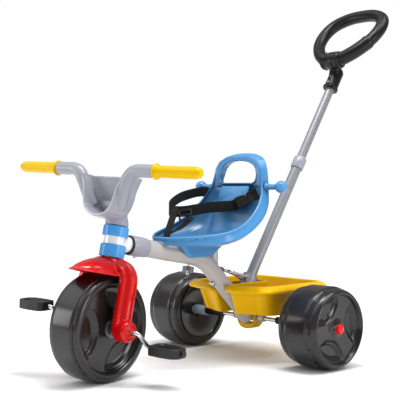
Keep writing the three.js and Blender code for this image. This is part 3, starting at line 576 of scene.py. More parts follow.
def notch_pieces(size, broad, place, name, body, material, angles):
    """Short raised bars across the shoulder, one set on each side of the tread."""
    half, radius = size["width"] / 2, size["radius"]
    parts = []
    for side in (1, -1):
        for angle in angles:
            a = math.radians(angle)
            rows = []
            for inward, drop in ((29, 0.8), (25, 0.9), (21, 3.2), (15, 3.7)):
                x, r = half - inward * broad, radius - drop
                centre = Vector((side * x, r * math.cos(a), r * math.sin(a)))
                tangent = Vector((0, -math.sin(a), math.cos(a)))
                normal = Vector((side * 0.3, math.cos(a), math.sin(a))).normalized()
                rows.append([centre + tangent * (1.3 * u) + normal * (0.9 * v)
                             for u, v in ((-1, -1), (1, -1), (0.6, 1), (-0.6, 1))])
            parts.append(skin(rows))
    finish_piece(make_piece(name, *merged(parts), place, material), body, "dark_plastic")


HALF_TRACK = 0.216
REAR = {
    "radius": 90, "width": 108, "dish": 75, "boss": 16, "bore": 9.35, "sink": 9, "hub": 45.4,
    "pocket": 9, "angle": 8,
    "inner": [(9.35, 26), (18, 26), (21, 25), (23, 24), (40, 24), (41, 27), (47, 27), (48, 24),
              (57, 24), (59, 30), (62, 34), (64, 46), (67, 52), (71, 54)],
}
FRONT = {
    "radius": 110, "width": 78, "dish": 90, "boss": 24, "bore": 4.9, "pocket": 9, "angle": 60,
}


def make_wheels(look):
    shell = skin(rear_wheel_rows(), closed=True)
    for side, name in SIDES:
        turn = Matrix.Rotation(0 if side > 0 else math.pi, 4, "Z")
        place = Matrix.Translation((HALF_TRACK * side, AXLE.y, AXLE.z)) @ turn @ MM
        made = make_piece("rear_wheel_shell_" + name, *shell, place, look["wheel"], 50)
        body = name + "_rear_wheel"
        finish_piece(made, body, "dark_plastic", "rear_wheel_" + name)
        notch_pieces(REAR, 1, place, "rear_shoulder_bars_" + name, body, look["wheel"],
                     range(14, 374, 24))
    make_front_wheel(look)


def make_front_wheel(look):
    """Both faces of the front wheel are the same: dished, with three pockets."""
    half, dish, boss, bore = FRONT["width"] / 2, FRONT["dish"], FRONT["boss"], FRONT["bore"]
    tread = shoulder(FRONT["radius"], half, 0.5)
    wall = [(dish + 3, half), (dish + 1, half - 0.6), (dish - 1, half - 5), (dish - 2, half - 9)]
    rings = spaced((dish - 3, half - 10), (boss + 7, half - 9), 40)
    centre = [(boss + 5, half - 8.6), (boss - 3, half - 8.1), (bore, half - 8.1)]
    near, far = (
        disc_side(rings, dish - 6, boss + 11, FRONT["pocket"], angle, WHEEL_STEPS)
        for angle in (FRONT["angle"], 180 - FRONT["angle"])
    )
    outward = [
        *lathe([(bore, 0), *reversed(centre)], WHEEL_STEPS, "x"),
        *near[::-1],
        *lathe([*reversed(wall), *reversed(tread)], WHEEL_STEPS, "x"),
    ]
    other = [[(-x, y, z) for x, y, z in row] for row in (
        *lathe([*tread, *wall], WHEEL_STEPS, "x"),
        *far,
        *lathe(centre, WHEEL_STEPS, "x"),
    )]
    shell = skin([*outward, *other], closed=True)
    place = STEERED @ Matrix.Rotation(LEAN, 4, "X")
    made = make_piece("front_wheel_shell", *shell, place, look["wheel"], 50)
    finish_piece(made, "front_wheel_set", "dark_plastic", "front_wheel")
    notch_pieces(FRONT, 0.5, place, "front_shoulder_bars", "front_wheel_set", look["wheel"],
                 range(10, 370, 20))


# ---------- fork, mudguard and handlebar ----------
# Across the leg from its front edge: a lip, a valley, a ridge and a broad outer face.
FORK_SECTION = [
    (-22, 0), (-22, 8), (-21, 11), (-18.8, 12), (-16.6, 10.6), (-14.6, 8.4), (-12, 8.2),
    (-9.6, 11), (-8, 15.6), (-6.2, 18.8), (-3.4, 20), (-0.4, 18.8), (6, 17.6), (13, 17),
    (18, 15.4), (21, 12), (22, 7), (22, 0), (14, -0.2), (0, -0.2), (-14, -0.2),
]


def hood_rows(tip, drop, power, steps):
    """Half of the hood over the tyre, like a cap: a dome standing on a sloping peak."""
    rows = []
    for i in range(steps + 1):
        s = i / steps
        half = 51 * max(0, 1 - s ** 2.6) ** 0.6 + 1.2
        brim = 107.5 - 2 * s
        along = min(1, s / 0.95)
        dome_half = 44 * max(0.001, 1 - along ** 2.2) ** 0.6
        dome_top = 141 - drop * along ** power
        top = []
        for k in range(49):
            u = abs(-1 + k / 24)
            peak = brim + 9 * min(1, (1 - u) / 0.26) * (1 - s ** 3)
            inside = max(0, 1 - (half * u / dome_half) ** 2.3) ** 0.75
            dome = 110 + (dome_top - 110) * inside
            top.append((half * (-1 + k / 24), tip * s, max(peak, dome if inside else 0)))
        under = [(x * 0.97, y, z - 2.8) for x, y, z in reversed(top)]
        rows.append([*top, *under])
    return rows


def make_fork(look):
    """One moulding: both legs with their round ends, the crown and the two halves of the hood."""
    leg = 51
    half = [(leg, 4), (leg, 30), (leg, 60), (leg, 84), *arc(leg - 30, 94, 30, 0, 80, 12)]
    path = [Vector((x, 0, z)) for x, z in (*half, *flipped(half))]
    rows = sweep(path, lambda i: [(u, -v) for u, v in FORK_SECTION], Vector((0, 1, 0)))
    parts = [skin(rows)]
    boss = [(0, 51), (19, 51), (21, 53), (22, 57), (22, 75), (21.4, 79.4), (19.6, 82.8),
            (17, 84.2), (15.6, 83.4), (14.4, 82.6), (11.6, 82.6), (10.6, 85.6), (0, 85.6)]
    points, faces = skin(lathe(boss, 40, "x"))
    for side, _ in SIDES:
        parts.append(([(side * x, y, z) for x, y, z in points], faces))
    saddle = [(0, 118), (30, 118), (29, 128), (26.5, 136), (23.8, 141), (21, 142.6), (0, 142.8)]
    parts.append(skin(lathe(saddle, 40)))
    parts.append(skin(hood_rows(-104, 31, 2.1, 30)))
    parts.append(skin(hood_rows(64, 29, 1.1, 20)))
    bores = [skin(lathe([(0, -90), (5.6, -90), (5.6, -82.4), (9.3, -82), (9.3, 82), (5.6, 82.4),
                         (5.6, 90), (0, 90)], 32, "x"))]
    made = fuse("fork_moulding", parts, STEERED, look["red"], 1.2, 3, bores)
    finish_piece(made, "steering", "red_plastic", "fork", "mudguard")


BAR = {"height": 313, "forward": 61.6}


def block_from(outline, low, high):
    """A prism of an outline of (x, z) points between two distances from front to back."""
    return skin([[(x, d, z) for x, z in outline] for d in (low, high)])


def bead(path, radius, side):
    """A round bar along a path; a thick one has more faces round it."""
    return skin(sweep(path, lambda i: circle(radius, 28 if radius > 10 else 10), side))


def scoop_loop(inset, depth):
    """A level of the scoop: its U outline drawn in by inset, each point as far forward as
    depth says for its height."""
    half = []
    for x, z in ((0, 218), (11, 218.6), (21, 221.6), (31, 229), (38.5, 242), (43.5, 259),
                 (48, 277), (56, 293), (63, 304)):
        draw = inset * (0.55 + 0.65 * (z - 218) / 86)
        lift = 0.8 * max(inset, -2) * max(0, 1 - (z - 218) / 34)
        half.append((max(0, x - draw), z + lift))
    return [(x, -depth(z), z) for x, z in (*half, *flipped(half[1:]))]


def bar_arm(side):
    """The tube on one side: straight up to the grip, and bent down into the scoop."""
    route = smooth_path([
        (side * x, back - BAR["forward"], BAR["height"] - drop)
        for x, back, drop in ((132, 0, 0), (104, 0, 0), (84, 0, 0.5), (70, 1, 7), (58, 4, 24),
                              (47, 12, 50), (36, 22, 72))
    ], 6)
    return skin(sweep(route, lambda i: circle(13.5 - 0.1 * max(0, i - 22), 28),
                      Vector((0, 1, 0))))


def scoop():
    """The dished panel in levels, from its back round its rim to its floor."""
    return skin([
        scoop_loop(*level) for level in (
            (10, lambda z: 6 + 0.27 * max(0, z - 262)),
            (-4, lambda z: 11 + 0.27 * max(0, z - 262)),
            (-11, lambda z: 20 + 0.2 * max(0, z - 262)),
            (-11, lambda z: 38 + 0.1 * max(0, z - 262)),
            (-6, lambda z: 54), (-1, lambda z: 64.5), (1.5, lambda z: 68), (4.4, lambda z: 67),
            (6, lambda z: 61), (11, lambda z: 28 + 0.34 * (z - 229)),
            (15, lambda z: 21.5 + 0.4 * (z - 229)), (21, lambda z: 19.5 + 0.4 * (z - 229)),
        )
    ])


def bar_neck():
    return skin([
        [(wide * math.cos(a), y + deep * math.sin(a), z) for a in ring_angles(40)]
        for wide, y, deep, z in (
            (25, 0, 25, 208.7), (24.4, 0, 24.4, 214), (23, -2, 22.5, 224), (25, -9, 23, 233),
            (30, -18, 21, 243), (33, -23, 16, 254),
        )
    ])


def make_handlebar(look):
    """One moulding: the tube with its two bends, the scoop with its dished panel and the neck."""
    parts = [bar_arm(1), bar_arm(-1), scoop(), bar_neck()]
    between_arms = block_from([(-45, 302.5), (45, 302.5), (52, 335), (-52, 335)], -80, 10)
    behind_arms = block_from([(-100, 303), (100, 303), (100, 340), (-100, 340)], -47, 30)
    made = fuse("handlebar_moulding", parts, STEERED, look["grey"], 1.5, 12,
                [between_arms, behind_arms])
    finish_piece(made, "steering", "grey_plastic", "handlebar")
    edge = [Vector(p) for p in scoop_loop(2.4, lambda z: 68.4)]
    top = len(edge) // 2 + 1
    ridge = bead(smooth_path([*edge[top:], *edge[:top]], 4), 1.9, Vector((0, 1, 0)))
    # The ridge bead takes the lighter grey, a painted highlight along the rim.
    made = make_piece("handlebar_ridge", *ridge, STEERED, look["edge"])
    finish_piece(made, "steering", "grey_plastic")


def make_grips(look):
    profile = [
        (0, 131.6), (13.6, 131.8), (15.2, 132.4), (16.1, 133.8), (16.2, 135.4), (15.4, 137),
        (13.4, 138), (12.6, 139.4), (12.2, 142), (12, 180), (12.1, 226), (11.6, 234),
        (10.2, 239.6), (7.4, 243.8), (3.8, 245.8), (0, 246.2),
    ]
    ring, faces = skin(lathe(profile, 40, "x"))
    for side, name in SIDES:
        points = [(side * x, y - BAR["forward"], z + BAR["height"]) for x, y, z in ring]
        made = make_piece("grip_moulding_" + name, points, faces, STEERED, look["grip"], 60)
        finish_piece(made, "steering", "yellow_plastic", "grip_" + name)


# ---------- pedals ----------
PEDAL_OUTLINE = [
    (-37, -15), (-29, -23), (0, -25), (27, -22), (38, -11), (38, 11), (27, 22), (0, 25), (-29, 23),
    (-37, 15),
]


RIB_SECTION = ((-1, -0.8), (1, -0.8), (0.6, 1), (-0.6, 1))


def pedal_ribs(side):
    """Five low ribs along each of the pedal's two treads."""
    return merged([
        skin([[(x + side * 1.5, k * 5.4 + across, height + out) for across, out in RIB_SECTION]
              for x in (-24, 0, 24)])
        for height in (6.6, -6.6) for k in range(-2, 3)
    ])


def make_pedals(look):
    for side, name in SIDES:
        body = name + "_pedal"
        centre = Vector((side * 150, side * 39.5, -side * 25))
        place = STEERED @ Matrix.Translation(centre) @ Matrix.Rotation(LEAN, 4, "X")
        rod = skin(lathe([(0, -60), (5.5, -60), (5.5, 60), (0, 60)], 28, "x"))
        block = skin([
            [(side * x * k + side * 1.5, y * k, z) for x, y in PEDAL_OUTLINE]
            for k, z in ((0.7, -6.6), (0.76, -9.6), (0.92, -9.8), (1, -8.6), (1, 8.6), (0.92, 9.8),
                         (0.76, 9.6), (0.7, 6.6))
        ])
        made = fuse("pedal_block_" + name, [block], place, look["pedal"], 0.9, 1, [rod])
        finish_piece(made, body, "black_plastic", "pedal_" + name)
        made = make_piece("pedal_ribs_" + name, *pedal_ribs(side), place, look["pedal"])
        finish_piece(made, body, "black_plastic")


# ---------- seat ----------
RIM = [
    (0, -290, 282, 0, -4, -13), (18, -280, 283, 0, -4, -13), (36, -264, 284, 1, -3, -14),
    (60, -243, 286, 2, 0, -15), (84, -217, 289, 3, 0, -16), (101, -190, 293, 4, 0, -16),
    (108, -163, 300, 5, 2, -17), (108, -134, 311, 6, 5, -18), (104, -104, 328, 7, 9, -17),
    (98, -76, 352, 8, 14, -15), (90, -57, 376, 8, 17, -11), (81, -46, 398, 6, 18, -6),
    (76, -41, 420, 5, 18, -2), (71, -38, 439, 4, 18, 1), (60, -35, 456, 3, 18, 3),
    (36, -33, 466, 2, 18, 4), (0, -32, 469, 0, 18, 4),
]
SEAT_MIDDLE = (-165, 266)


def fine_rim():
    """The rim's stations, smoothed and closed round both sides."""
    half = [Vector(row[:3]) for row in RIM]
    turn = [Vector(row[3:]) for row in RIM]
    whole, turns = (
        [*side, *[Vector((-p.x, p.y, p.z)) for p in reversed(side[1:-1])]] for side in (half, turn)
    )
    return smooth_path(whole, 5, closed=True), smooth_path(turns, 5, closed=True)


def seat_loop(rim, turns, outward, flange, offset, rise=0.0):
    """A closed loop of the bowl, from its middle (0) out to the rim (1) and over its flange."""
    middle_y, middle_z = SEAT_MIDDLE
    wide = math.sin(outward * math.pi / 2) ** 0.8
    tall = 1 - math.cos(outward * math.pi / 2) ** 0.75
    loop = []
    for p, turn in zip(rim, turns):
        loop.append((
            p.x * wide + flange * turn.x,
            middle_y + (p.y - middle_y) * wide + flange * turn.y + offset * 0.5 * wide,
            middle_z + (p.z - middle_z) * tall + flange * turn.z - offset + rise,
        ))
    return loop


def seat_bowl(rim, turns):
    """The bowl from its underside over the rolled rim to its inside."""
    under = [seat_loop(rim, turns, k, 0, 4.5) for k in (0.05, 0.2, 0.35, 0.5, 0.65, 0.78, 0.88)]
    edge = [seat_loop(rim, turns, *s) for s in (
        (0.93, 0.85, 0), (0.97, 1.0, 0), (1.0, 0.94, 0), (1.0, 0.5, 0), (1.0, 0.1, 0),
        (0.997, 0.02, 0, 0.6), (0.985, 0, 0, 0.9), (0.972, 0, 0, 0.2),
    )]
    inside = [seat_loop(rim, turns, k, 0, 0)
              for k in (0.95, 0.92, 0.88, 0.83, 0.77, 0.7, 0.6, 0.5, 0.38, 0.26, 0.14, 0.05)]
    return skin([*under, *edge, *inside])


HOLD = [
    (48, 402), (55, 406), (59, 414), (59.5, 424), (56, 436), (48, 445), (36, 451), (18, 454.5),
    (0, 455.5),
]
HOLD_OUTLINE = [*HOLD, *flipped(HOLD[:-1])]
TUBE_LOW, TUBE_HIGH, TUBE_RUN = 234.7, 273.03, 209


def seat_cuts():
    """The hand-hold, the bed of the frame tube with room for its sleeve, and the strap's slot."""
    hole = block_from(HOLD_OUTLINE, -90, 30)
    slope = math.atan2(TUBE_HIGH - TUBE_LOW, TUBE_RUN)
    run = Vector((0, -math.cos(slope), math.sin(slope)))
    start = Vector((0, -110, TUBE_LOW - 41 * math.tan(slope)))
    saddle, sleeve_room = (
        bead([start + run * t for t in reach], radius, Vector((1, 0, 0)))
        for reach, radius in (((0, 200), 20), ((118, 240), 23.2))
    )
    slot = skin([[(x, y, z) for x, y in rounded_rectangle(15, -268, -262, 2.5, 3)]
                 for z in (262, 300)])
    return [hole, saddle, sleeve_room, slot]


def seat_beads(rim, turns):
    """The round edges of the rim, raised at its front tip, and of the hand-hold."""
    lip = [(x, y, z + 3.2 * max(0, 1 - abs(x) / 30) * (y < -240))
           for x, y, z in seat_loop(rim, turns, 0.99, 0.03, 0, 1.8)]
    rim_bead = bead(loop_points(lip), 3.1, Vector((0, 0, 1)))
    hold_loop = loop_points([(x, -39 - 0.1 * (430 - z), z) for x, z in HOLD_OUTLINE])
    return [rim_bead, bead(hold_loop, 2.0, Vector((0, 1, 0)))]


def make_seat(look):
    rim, turns = fine_rim()
    plate = block_from([(-79, 396), (-75, 437), (-61, 454), (-36, 465), (36, 465), (61, 454),
                        (75, 437), (79, 396)], -40, -33)
    pedestal = skin([
        [(x, y, 239.6) for x, y in rounded_rectangle(25, -212, -142, 10)],
        [(x, y, 266) for x, y in rounded_rectangle(34, -245, -112, 12)],
    ])
    made = fuse("seat_moulding", [seat_bowl(rim, turns), plate, pedestal], SHIFT, look["blue"],
                1.35, 5, seat_cuts(), seat_beads(rim, turns))
    finish_piece(made, "seat", "blue_plastic", "seat_shell")
    make_back_panel(look)
    make_pegs(look)


def loop_points(points):
    return [Vector(p) for p in (*points, points[0])]


def make_back_panel(look):
    """The stepped rectangles moulded in the back below the hand-hold."""
    parts = []
    for half, low, high, lift in ((46, 352, 396, 0.0), (37, 359, 390, 1.3)):
        rows = []
        for depth in (0, 1.8):
            outline = rounded_rectangle(half - depth, low + depth, high - depth, 6, 4)
            rows.append([(x, -49.5 - 0.42 * (392 - z) - lift - depth, z) for x, z in outline])
        parts.append(skin(rows))
    made = make_piece("seat_back_panel", *merged(parts), SHIFT, look["blue"])
    finish_piece(made, "seat", "blue_plastic")


def make_pegs(look):
    profile = [(0, 84), (9, 85), (9, 88.4), (7.2, 90), (6.4, 92), (6.4, 113), (6.9, 115.6),
               *arc(0, 129.5, 14, -58, 84, 14), (0, 143.4)]
    ring, faces = skin(lathe(profile, 36, "x"))
    for side, name in SIDES:
        points = [(side * x, y - 34, z + 394) for x, y, z in ring]
        made = make_piece("side_peg_moulding_" + name, points, faces, SHIFT, look["blue"], 60)
        finish_piece(made, "seat", "blue_plastic", "side_peg_" + name)


# ---------- belt ----------
BUCKLE_FROM, BUCKLE_TO = Vector((48, -92, 357)), Vector((84, -60, 380))


def on_buckle(distance):
    return BUCKLE_FROM + (BUCKLE_TO - BUCKLE_FROM).normalized() * distance


STRAP_SECTION = [
    (-1, -1), (-0.94, -1.15), (0.94, -1.15), (1, -1), (1, 1), (0.94, 1.15), (-0.94, 1.15), (-1, 1),
]


def strap_rows(route, widths, width):
    """Rows of a ribbon along a route, its width turning from one direction to the next."""
    count = len(route)
    rows = []
    for i, point in enumerate(route):
        t = i / (count - 1) * (len(widths) - 1)
        k = min(int(t), len(widths) - 2)
        wide = Vector(widths[k]).lerp(Vector(widths[k + 1]), t - k).normalized()
        along = (route[min(i + 1, count - 1)] - route[max(i - 1, 0)]).normalized()
        wide = (wide - wide.dot(along) * along).normalized()
        thick = along.cross(wide)
        rows.append([point + wide * (u * width / 2) + thick * (v * 0.8) for u, v in STRAP_SECTION])
    return rows


def map_weave(mesh, route, rows, width):
    """A map that runs along the ribbon and across it, for the weave."""
    lengths = [0.0]
    for before, after in zip(route, route[1:]):
        lengths.append(lengths[-1] + (after - before).length)
    layer = mesh.uv_layers.new(name="weave")
    back = SHIFT.inverted()
    for index, corner in enumerate(mesh.loops):
        at = back @ mesh.vertices[corner.vertex_index].co
        k = min(range(len(route)), key=lambda j: (route[j] - at).length)
        across = (rows[k][3] - rows[k][0]).normalized().dot(at - rows[k][0]) / width
        layer.data[index].uv = (lengths[k] / width, across)


def strap(name, points, widths, look, nodes, width=24):
    """A piece of webbing through points."""
    route = smooth_path(points, 10)
    rows = strap_rows(route, widths, width)
    made = make_piece(name, *skin(rows), SHIFT, look["webbing"])
    map_weave(made.data, route, rows, width)
    finish_piece(made, "seat", "webbing", *nodes)


def make_belt(look):
    up, flat = (0, 0, 1), (1, 0, 0)
    strap("waist_belt", [
        (-97, -38, 378), (-94, -52, 382), (-85, -72, 383), (-78, -104, 380), (-64, -158, 371),
        (-44, -204, 357), (-25, -228, 345), (-10, -228, 341), (4, -206, 341), (22, -150, 349),
        on_buckle(-12), on_buckle(0.5),
    ], [up, (0.3, 0.2, 0.8), up, (0.1, 0, 1), up], look, ("waist_strap_right",))
    strap("crotch_belt", [
        (1, -263, 280), (1, -257, 292), (1, -249, 311), (1, -239, 333), (1, -232, 350),
    ], [flat, flat], look, ("crotch_strap",), width=21)
    strap("belt_tail", [
        (12, -196, 327), (9, -208, 316), (3, -226, 303), (0, -240, 297), (0, -250, 293),
    ], [flat, (0.9, 0.2, 0.3)], look, (), width=20)
    strap("belt_end", [on_buckle(38), on_buckle(44), on_buckle(52)], [up, up], look,
          ("waist_strap_left",))
    make_slider(look)
    make_buckle(look)


def oriented(along, up, at):
    """A matrix whose x runs along, whose y is as near to up as it can be, placed at a point."""
    x = along.normalized()
    y = (up - up.dot(x) * x).normalized()
    z = x.cross(y)
    return Matrix((
        (x.x, y.x, z.x, at.x), (x.y, y.y, z.y, at.y), (x.z, y.z, z.z, at.z), (0, 0, 0, 1),
    ))


def slab(x0, x1, half0, half1, thick, corner=2.0):
    """A rounded flat block whose width changes from one end to the other."""
    turns = (0, math.pi / 4, math.pi / 2)
    quarter = [(corner * math.cos(a), corner * math.sin(a)) for a in turns]
    outline = [
        *[(x0 + corner - c, -half0 + corner - s) for c, s in quarter],
        *[(x1 - corner + s, -half1 + corner - c) for c, s in quarter],
        *[(x1 - corner + c, half1 - corner + s) for c, s in quarter],
        *[(x0 + corner - s, half0 - corner + c) for c, s in quarter],
    ]
    t = thick / 2
    middle_x = (x0 + x1) / 2

    def shrink(k):
        return [(middle_x + (x - middle_x) * k, y * k) for x, y in outline]

    levels = ((0.9, -t), (0.97, -t + 0.5), (1, -t + 1.2), (1, t - 1.2), (0.97, t - 0.5), (0.9, t))
    return skin([[(x, y, z) for x, y in shrink(k)] for k, z in levels])


def make_buckle(look):
    place = SHIFT @ oriented(BUCKLE_TO - BUCKLE_FROM, Vector((0, 0, 1)), BUCKLE_FROM)
    body = [
        slab(0, 6, 13, 13.5, 8.4), slab(4, 24, 13.5, 11.5, 9),
        slab(8, 20, 6, 5, 10.6), slab(0, 3, 12, 12, 10.4, 1.2),
    ]
    made = make_piece("buckle_housing", *merged(body), place, look["black"])
    finish_piece(made, "seat", "black_plastic", "buckle_body")
    tongue = [
        slab(24.4, 30, 8, 12, 6.4), slab(29, 40, 12.4, 12.4, 7.4),
        slab(41, 44, 13, 13, 7.4, 1.2), slab(50, 53, 13, 13, 7.4, 1.2),
        shifted(slab(41, 53, 1.5, 1.5, 7.4, 1.2), (0, 11.8, 0)),
        shifted(slab(41, 53, 1.5, 1.5, 7.4, 1.2), (0, -11.8, 0)),
        slab(45.5, 48, 12, 12, 7, 1),
    ]
    made = make_piece("buckle_prongs", *merged(tongue), place, look["black"])
    finish_piece(made, "seat", "black_plastic", "buckle_tongue")


def make_slider(look):
    """The three-bar slider that ties the crotch strap to the waist belt."""
    place = SHIFT @ oriented(Vector((0.35, 0.8, 0.1)), Vector((0, 0, 1)), Vector((8, -211, 334)))
    parts = [shifted(slab(-15, 15, 2.2, 2.2, 4.6, 1), (0, y, 1.6)) for y in (-11, 0, 11)]
    parts += [slab(-15.5, -11.5, 13, 13, 4.6, 1), slab(11.5, 15.5, 13, 13, 4.6, 1)]
    raised = merged([shifted(part, (0, 0, 0.4)) for part in parts])
    made = make_piece("belt_slider", *raised, place, look["black"])
    finish_piece(made, "seat", "black_plastic")


# ---------- bin ----------
BIN_FLOOR, BIN_HEIGHT = 105, 69


def bin_loop(z, grow, slot, nose, back=30):
    """A level loop of the tub: its front bows forward on both sides of the slot, whose half
    width is slot and whose corners are rounded by nose."""
    share = (z - BIN_FLOOR) / BIN_HEIGHT
    half = 109 + 8 * share + grow
    y0, y1 = -54 - 24 * share - grow, 112 + 18 * share + grow
    corner = 30
    reach = half - corner

    def front(x):
        return y0 - 21 * (1 - (x / reach) ** 2)

    start = slot + 1.1 * nose
    bow = [start + (reach - start) * k / 8 for k in range(9)]
    right = [
        (slot, back), (slot, 0),
        *arc(slot + nose, front(start) + nose, nose, 180, 264, 6),
        *[(x, front(x)) for x in bow],
        *arc(reach, y0 + corner, corner, -72, 0, 8),
        *arc(reach, y1 - corner, corner, 0, 90, 8),
    ]
    return [(x, y, z) for x, y in (*right, *flipped(right))]


def make_bin(look):
    """A tub, built from its floor up the outside, over the rim and down the inside, with the
    tab that hooks on the axle."""
    tub = skin([bin_loop(*level) for level in (
        (105, -2.5, 22, 5), (106.6, 0, 22, 6), (156.4, 0, 22, 7), (156.8, 11.5, 21.6, 9),
        (158.4, 15, 21.4, 9), (160.6, 16, 21.4, 9), (163, 15.2, 21.4, 9), (168.6, 10.6, 21.5, 8),
        (172, 5.4, 21.7, 7), (173.8, 1.8, 22.2, 7), (173.6, -1.2, 24, 6, 32),
        (172, -3, 25.2, 5, 33.4), (140, -3.4, 25.4, 5, 33.4), (111, -3.8, 25.6, 5, 33.4),
        (108, -7, 28, 4, 36),
    )])
    half = [(30, 107), (30, 85), (26.5, 75), (19.5, 67.6), (11, 64.2), (0, 63.2)]
    tab = block_from([*half, *flipped(half[:-1])], -13, 16)
    slot = block_from([(-22.4, 77.6), (22.4, 77.6), (22.4, 112), (-22.4, 112)], -60, 30)
    rod = skin(lathe([(0, -70), (8.6, -70), (8.6, 70), (0, 70)], 32, "x"))
    axle = shifted(rod, (0, 0, 90))
    made = fuse("bin_moulding", [tub, tab], SHIFT, look["yellow"], 1.4, 3, [slot, axle])
    finish_piece(made, "bin_tub", "yellow_plastic", "bin")


# ---------- push pole and handle ----------
LOOP_FOOT = (307.5, 540)
LOOP_LEAN = math.radians(44)


def loop_place():
    y, z = LOOP_FOOT
    c, s = math.cos(POLE_LEAN), math.sin(POLE_LEAN)
    move = Matrix.Translation((0, y * c - z * s, y * s + z * c))
    return POLE @ move @ Matrix.Rotation(POLE_LEAN - LOOP_LEAN, 4, "X")


def loop_path():
    half = [(24, 3), (58, 30), (84, 70), (91, 112), (78, 150), (42, 172)]
    whole = [(0, 0), *half, (0, 177), *flipped(half)]
    return smooth_path([(x, 0, z) for x, z in whole], 9, closed=True)


def make_handle(look):
    path = loop_path()
    count = len(path)

    def radius(i):
        share = i / count
        if 0.045 < share < 0.2:
            return 17.4 + (0.5 if share < 0.06 or share > 0.188 else 0)
        return 15.7

    rows = sweep(path, lambda i: circle(radius(i), 28), Vector((0, 1, 0)), closed=True)
    loop = skin(rows, closed=True)
    made = make_piece("handle_loop", *loop, loop_place(), look["black"], 50)
    finish_piece(made, "upper_pole", "black_plastic", "handle_ring")
    make_hub(look)


def make_hub(look):
    place = loop_place()
    clamp = skin(lathe([(0, -29), (18, -29), (20.6, -27.5), (21.8, -25), (21.8, -17), (20.4, -15),
                        (22.4, -6), (22.8, 2), (22.2, 10), (20.6, 15), (22, 17), (22, 25),
                        (20.6, 27.5), (18, 29), (0, 29)], 40, "x"))
    clamp = placed(clamp, POLE.inverted() @ place)
    socket = skin(lathe([(0, 552), (18, 552), (19.6, 553.4), (19.6, 557.6), (18.2, 559.2),
                         (17, 561.5), (16.8, 606), (13, 614), (0, 617)], 40))
    neck = skin([
        [(15 * math.cos(a) + x, y + deep * math.sin(a), z) for a in ring_angles(32)]
        for x, y, deep, z in ((0, 0, 15, 572), (0, -2, 15.5, 588), (0, -7, 16.5, 602),
                              (0, -14, 17, 616))
    ])
    made = fuse("handle_hub_moulding", [clamp, socket, neck], POLE, look["black"], 1.3, 4)
    finish_piece(made, "upper_pole", "black_plastic", "handle_hub")
    make_hub_details(look, place)


def screw_head(radius, height):
    return lathe([(0, -1), (radius, -1), (radius, height * 0.6), (radius * 0.8, height),
                  (radius * 0.35, height), (radius * 0.3, height * 0.4), (0, height * 0.4)], 18)


def make_hub_details(look, place):
    """Ribs at the clamp's seam and the small screws of the clamp and the socket."""
    ribs = []
    for x in (-21, 21):
        ring = [Vector((x, y, z)) for y, z in circle(21.9, 40)]
        rows = sweep(ring, lambda i: circle(0.8, 8), Vector((1, 0, 0)), closed=True)
        ribs.append(skin(rows, closed=True))
    made = make_piece("hub_ribs", *merged(ribs), place, look["black"])
    finish_piece(made, "upper_pole", "black_plastic")
    screws = []
    for x in (-16, 13):
        move = Matrix.Translation((x, -19.2, 12)) @ Matrix.Rotation(math.radians(65), 4, "X")
        screws.append(placed(skin(screw_head(2.6, 1.6)), move))
    to_place = place.inverted() @ POLE
    for z in (566, 584):
        move = to_place @ Matrix.Translation((0, -16.4, z)) @ Matrix.Rotation(math.pi / 2, 4, "X")
        screws.append(placed(skin(screw_head(2.4, 1.4)), move))
    made = make_piece("hub_screws", *merged(screws), place, look["steel"])
    finish_piece(made, "upper_pole", "steel")


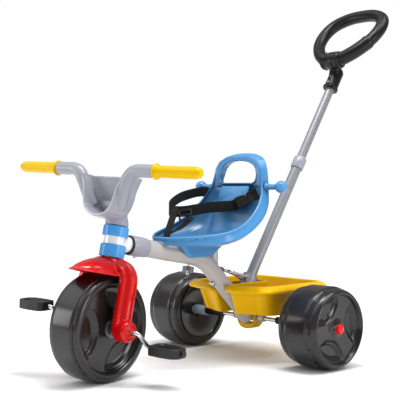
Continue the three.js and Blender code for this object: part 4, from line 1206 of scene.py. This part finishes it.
# ---------- plain turned and bent pieces that keep their CAD shape ----------
KEPT = {
    "frame": [
        ("frame_tube", "frame", "silver", 0.4), ("joint_sleeve", "grey", "grey_plastic", 0.6),
        ("sleeve_seal", "rubber", "black_plastic", 0.5), ("sleeve_screw", "steel", "steel", 0.4),
        ("frame_bolt", "steel", "steel", 0.5), ("frame_nut", "zinc", "steel", 0.5),
        ("head_tube", "head", "silver", 0.5),
        ("upper_headset_ring", "ring_blue", "blue_plastic", 0.8),
        ("lower_headset_ring", "ring_blue", "blue_plastic", 0.8),
        ("seat_post", "frame", "silver", 0.5), ("rear_axle", "steel", "steel", 0.5),
        ("axle_tube", "frame", "silver", 0.5),
        ("axle_sleeve_left", "black", "black_plastic", 0.5),
        ("axle_sleeve_right", "black", "black_plastic", 0.5),
        ("axle_spacer_left", "spacer", "grey_plastic", 0.6),
        ("axle_spacer_right", "spacer", "grey_plastic", 0.6),
        ("axle_cap_left", "cap", "red_cap", 0.6), ("axle_cap_right", "cap", "red_cap", 0.6),
        ("pole_socket", "frame", "silver", 0.4), ("pole_collar", "grey", "grey_plastic", 0.6),
    ],
    "steering": [
        ("steering_stem", "steel", "steel", 0.4), ("fork_bush_left", "nylon", "nylon", 0.3),
        ("fork_bush_right", "nylon", "nylon", 0.3),
    ],
    "front_wheel_set": [
        ("front_hub_left", "zinc", "grey_plastic", 0.8),
        ("front_hub_right", "zinc", "grey_plastic", 0.8), ("crank_axle", "steel", "steel", 0),
    ],
    "left_pedal": [("pedal_cap_left", "pedal", "black_plastic", 0.5)],
    "right_pedal": [("pedal_cap_right", "pedal", "black_plastic", 0.5)],
    "left_rear_wheel": [
        ("inner_bush_left", "nylon", "nylon", 0.3), ("outer_bush_left", "nylon", "nylon", 0.3),
    ],
    "right_rear_wheel": [
        ("inner_bush_right", "nylon", "nylon", 0.3), ("outer_bush_right", "nylon", "nylon", 0.3),
    ],
    "seat": [("seat_bolt", "steel", "steel", 0.4)],
    "clamp_nut": [("wing_nut", "zinc", "steel", 0.6)],
    "lower_pole": [
        ("pole_lower_tube", "pole", "silver", 0.3), ("pole_joint", "grey", "grey_plastic", 0.8),
    ],
    "upper_pole": [("pole_upper_tube", "pole", "silver", 0.3)],
    "bail": [("lock_bail", "steel", "steel", 0)],
}


def keep_turned_pieces(look):
    for body, rows in KEPT.items():
        for name, material, slot, bevel in rows:
            restyle(name, look[material], slot, body, bevel)


make_camera()
make_stage()
LOOK = make_materials()
keep_turned_pieces(LOOK)
make_wheels(LOOK)
make_fork(LOOK)
make_handlebar(LOOK)
make_grips(LOOK)
make_pedals(LOOK)
make_seat(LOOK)
make_belt(LOOK)
make_bin(LOOK)
make_handle(LOOK)
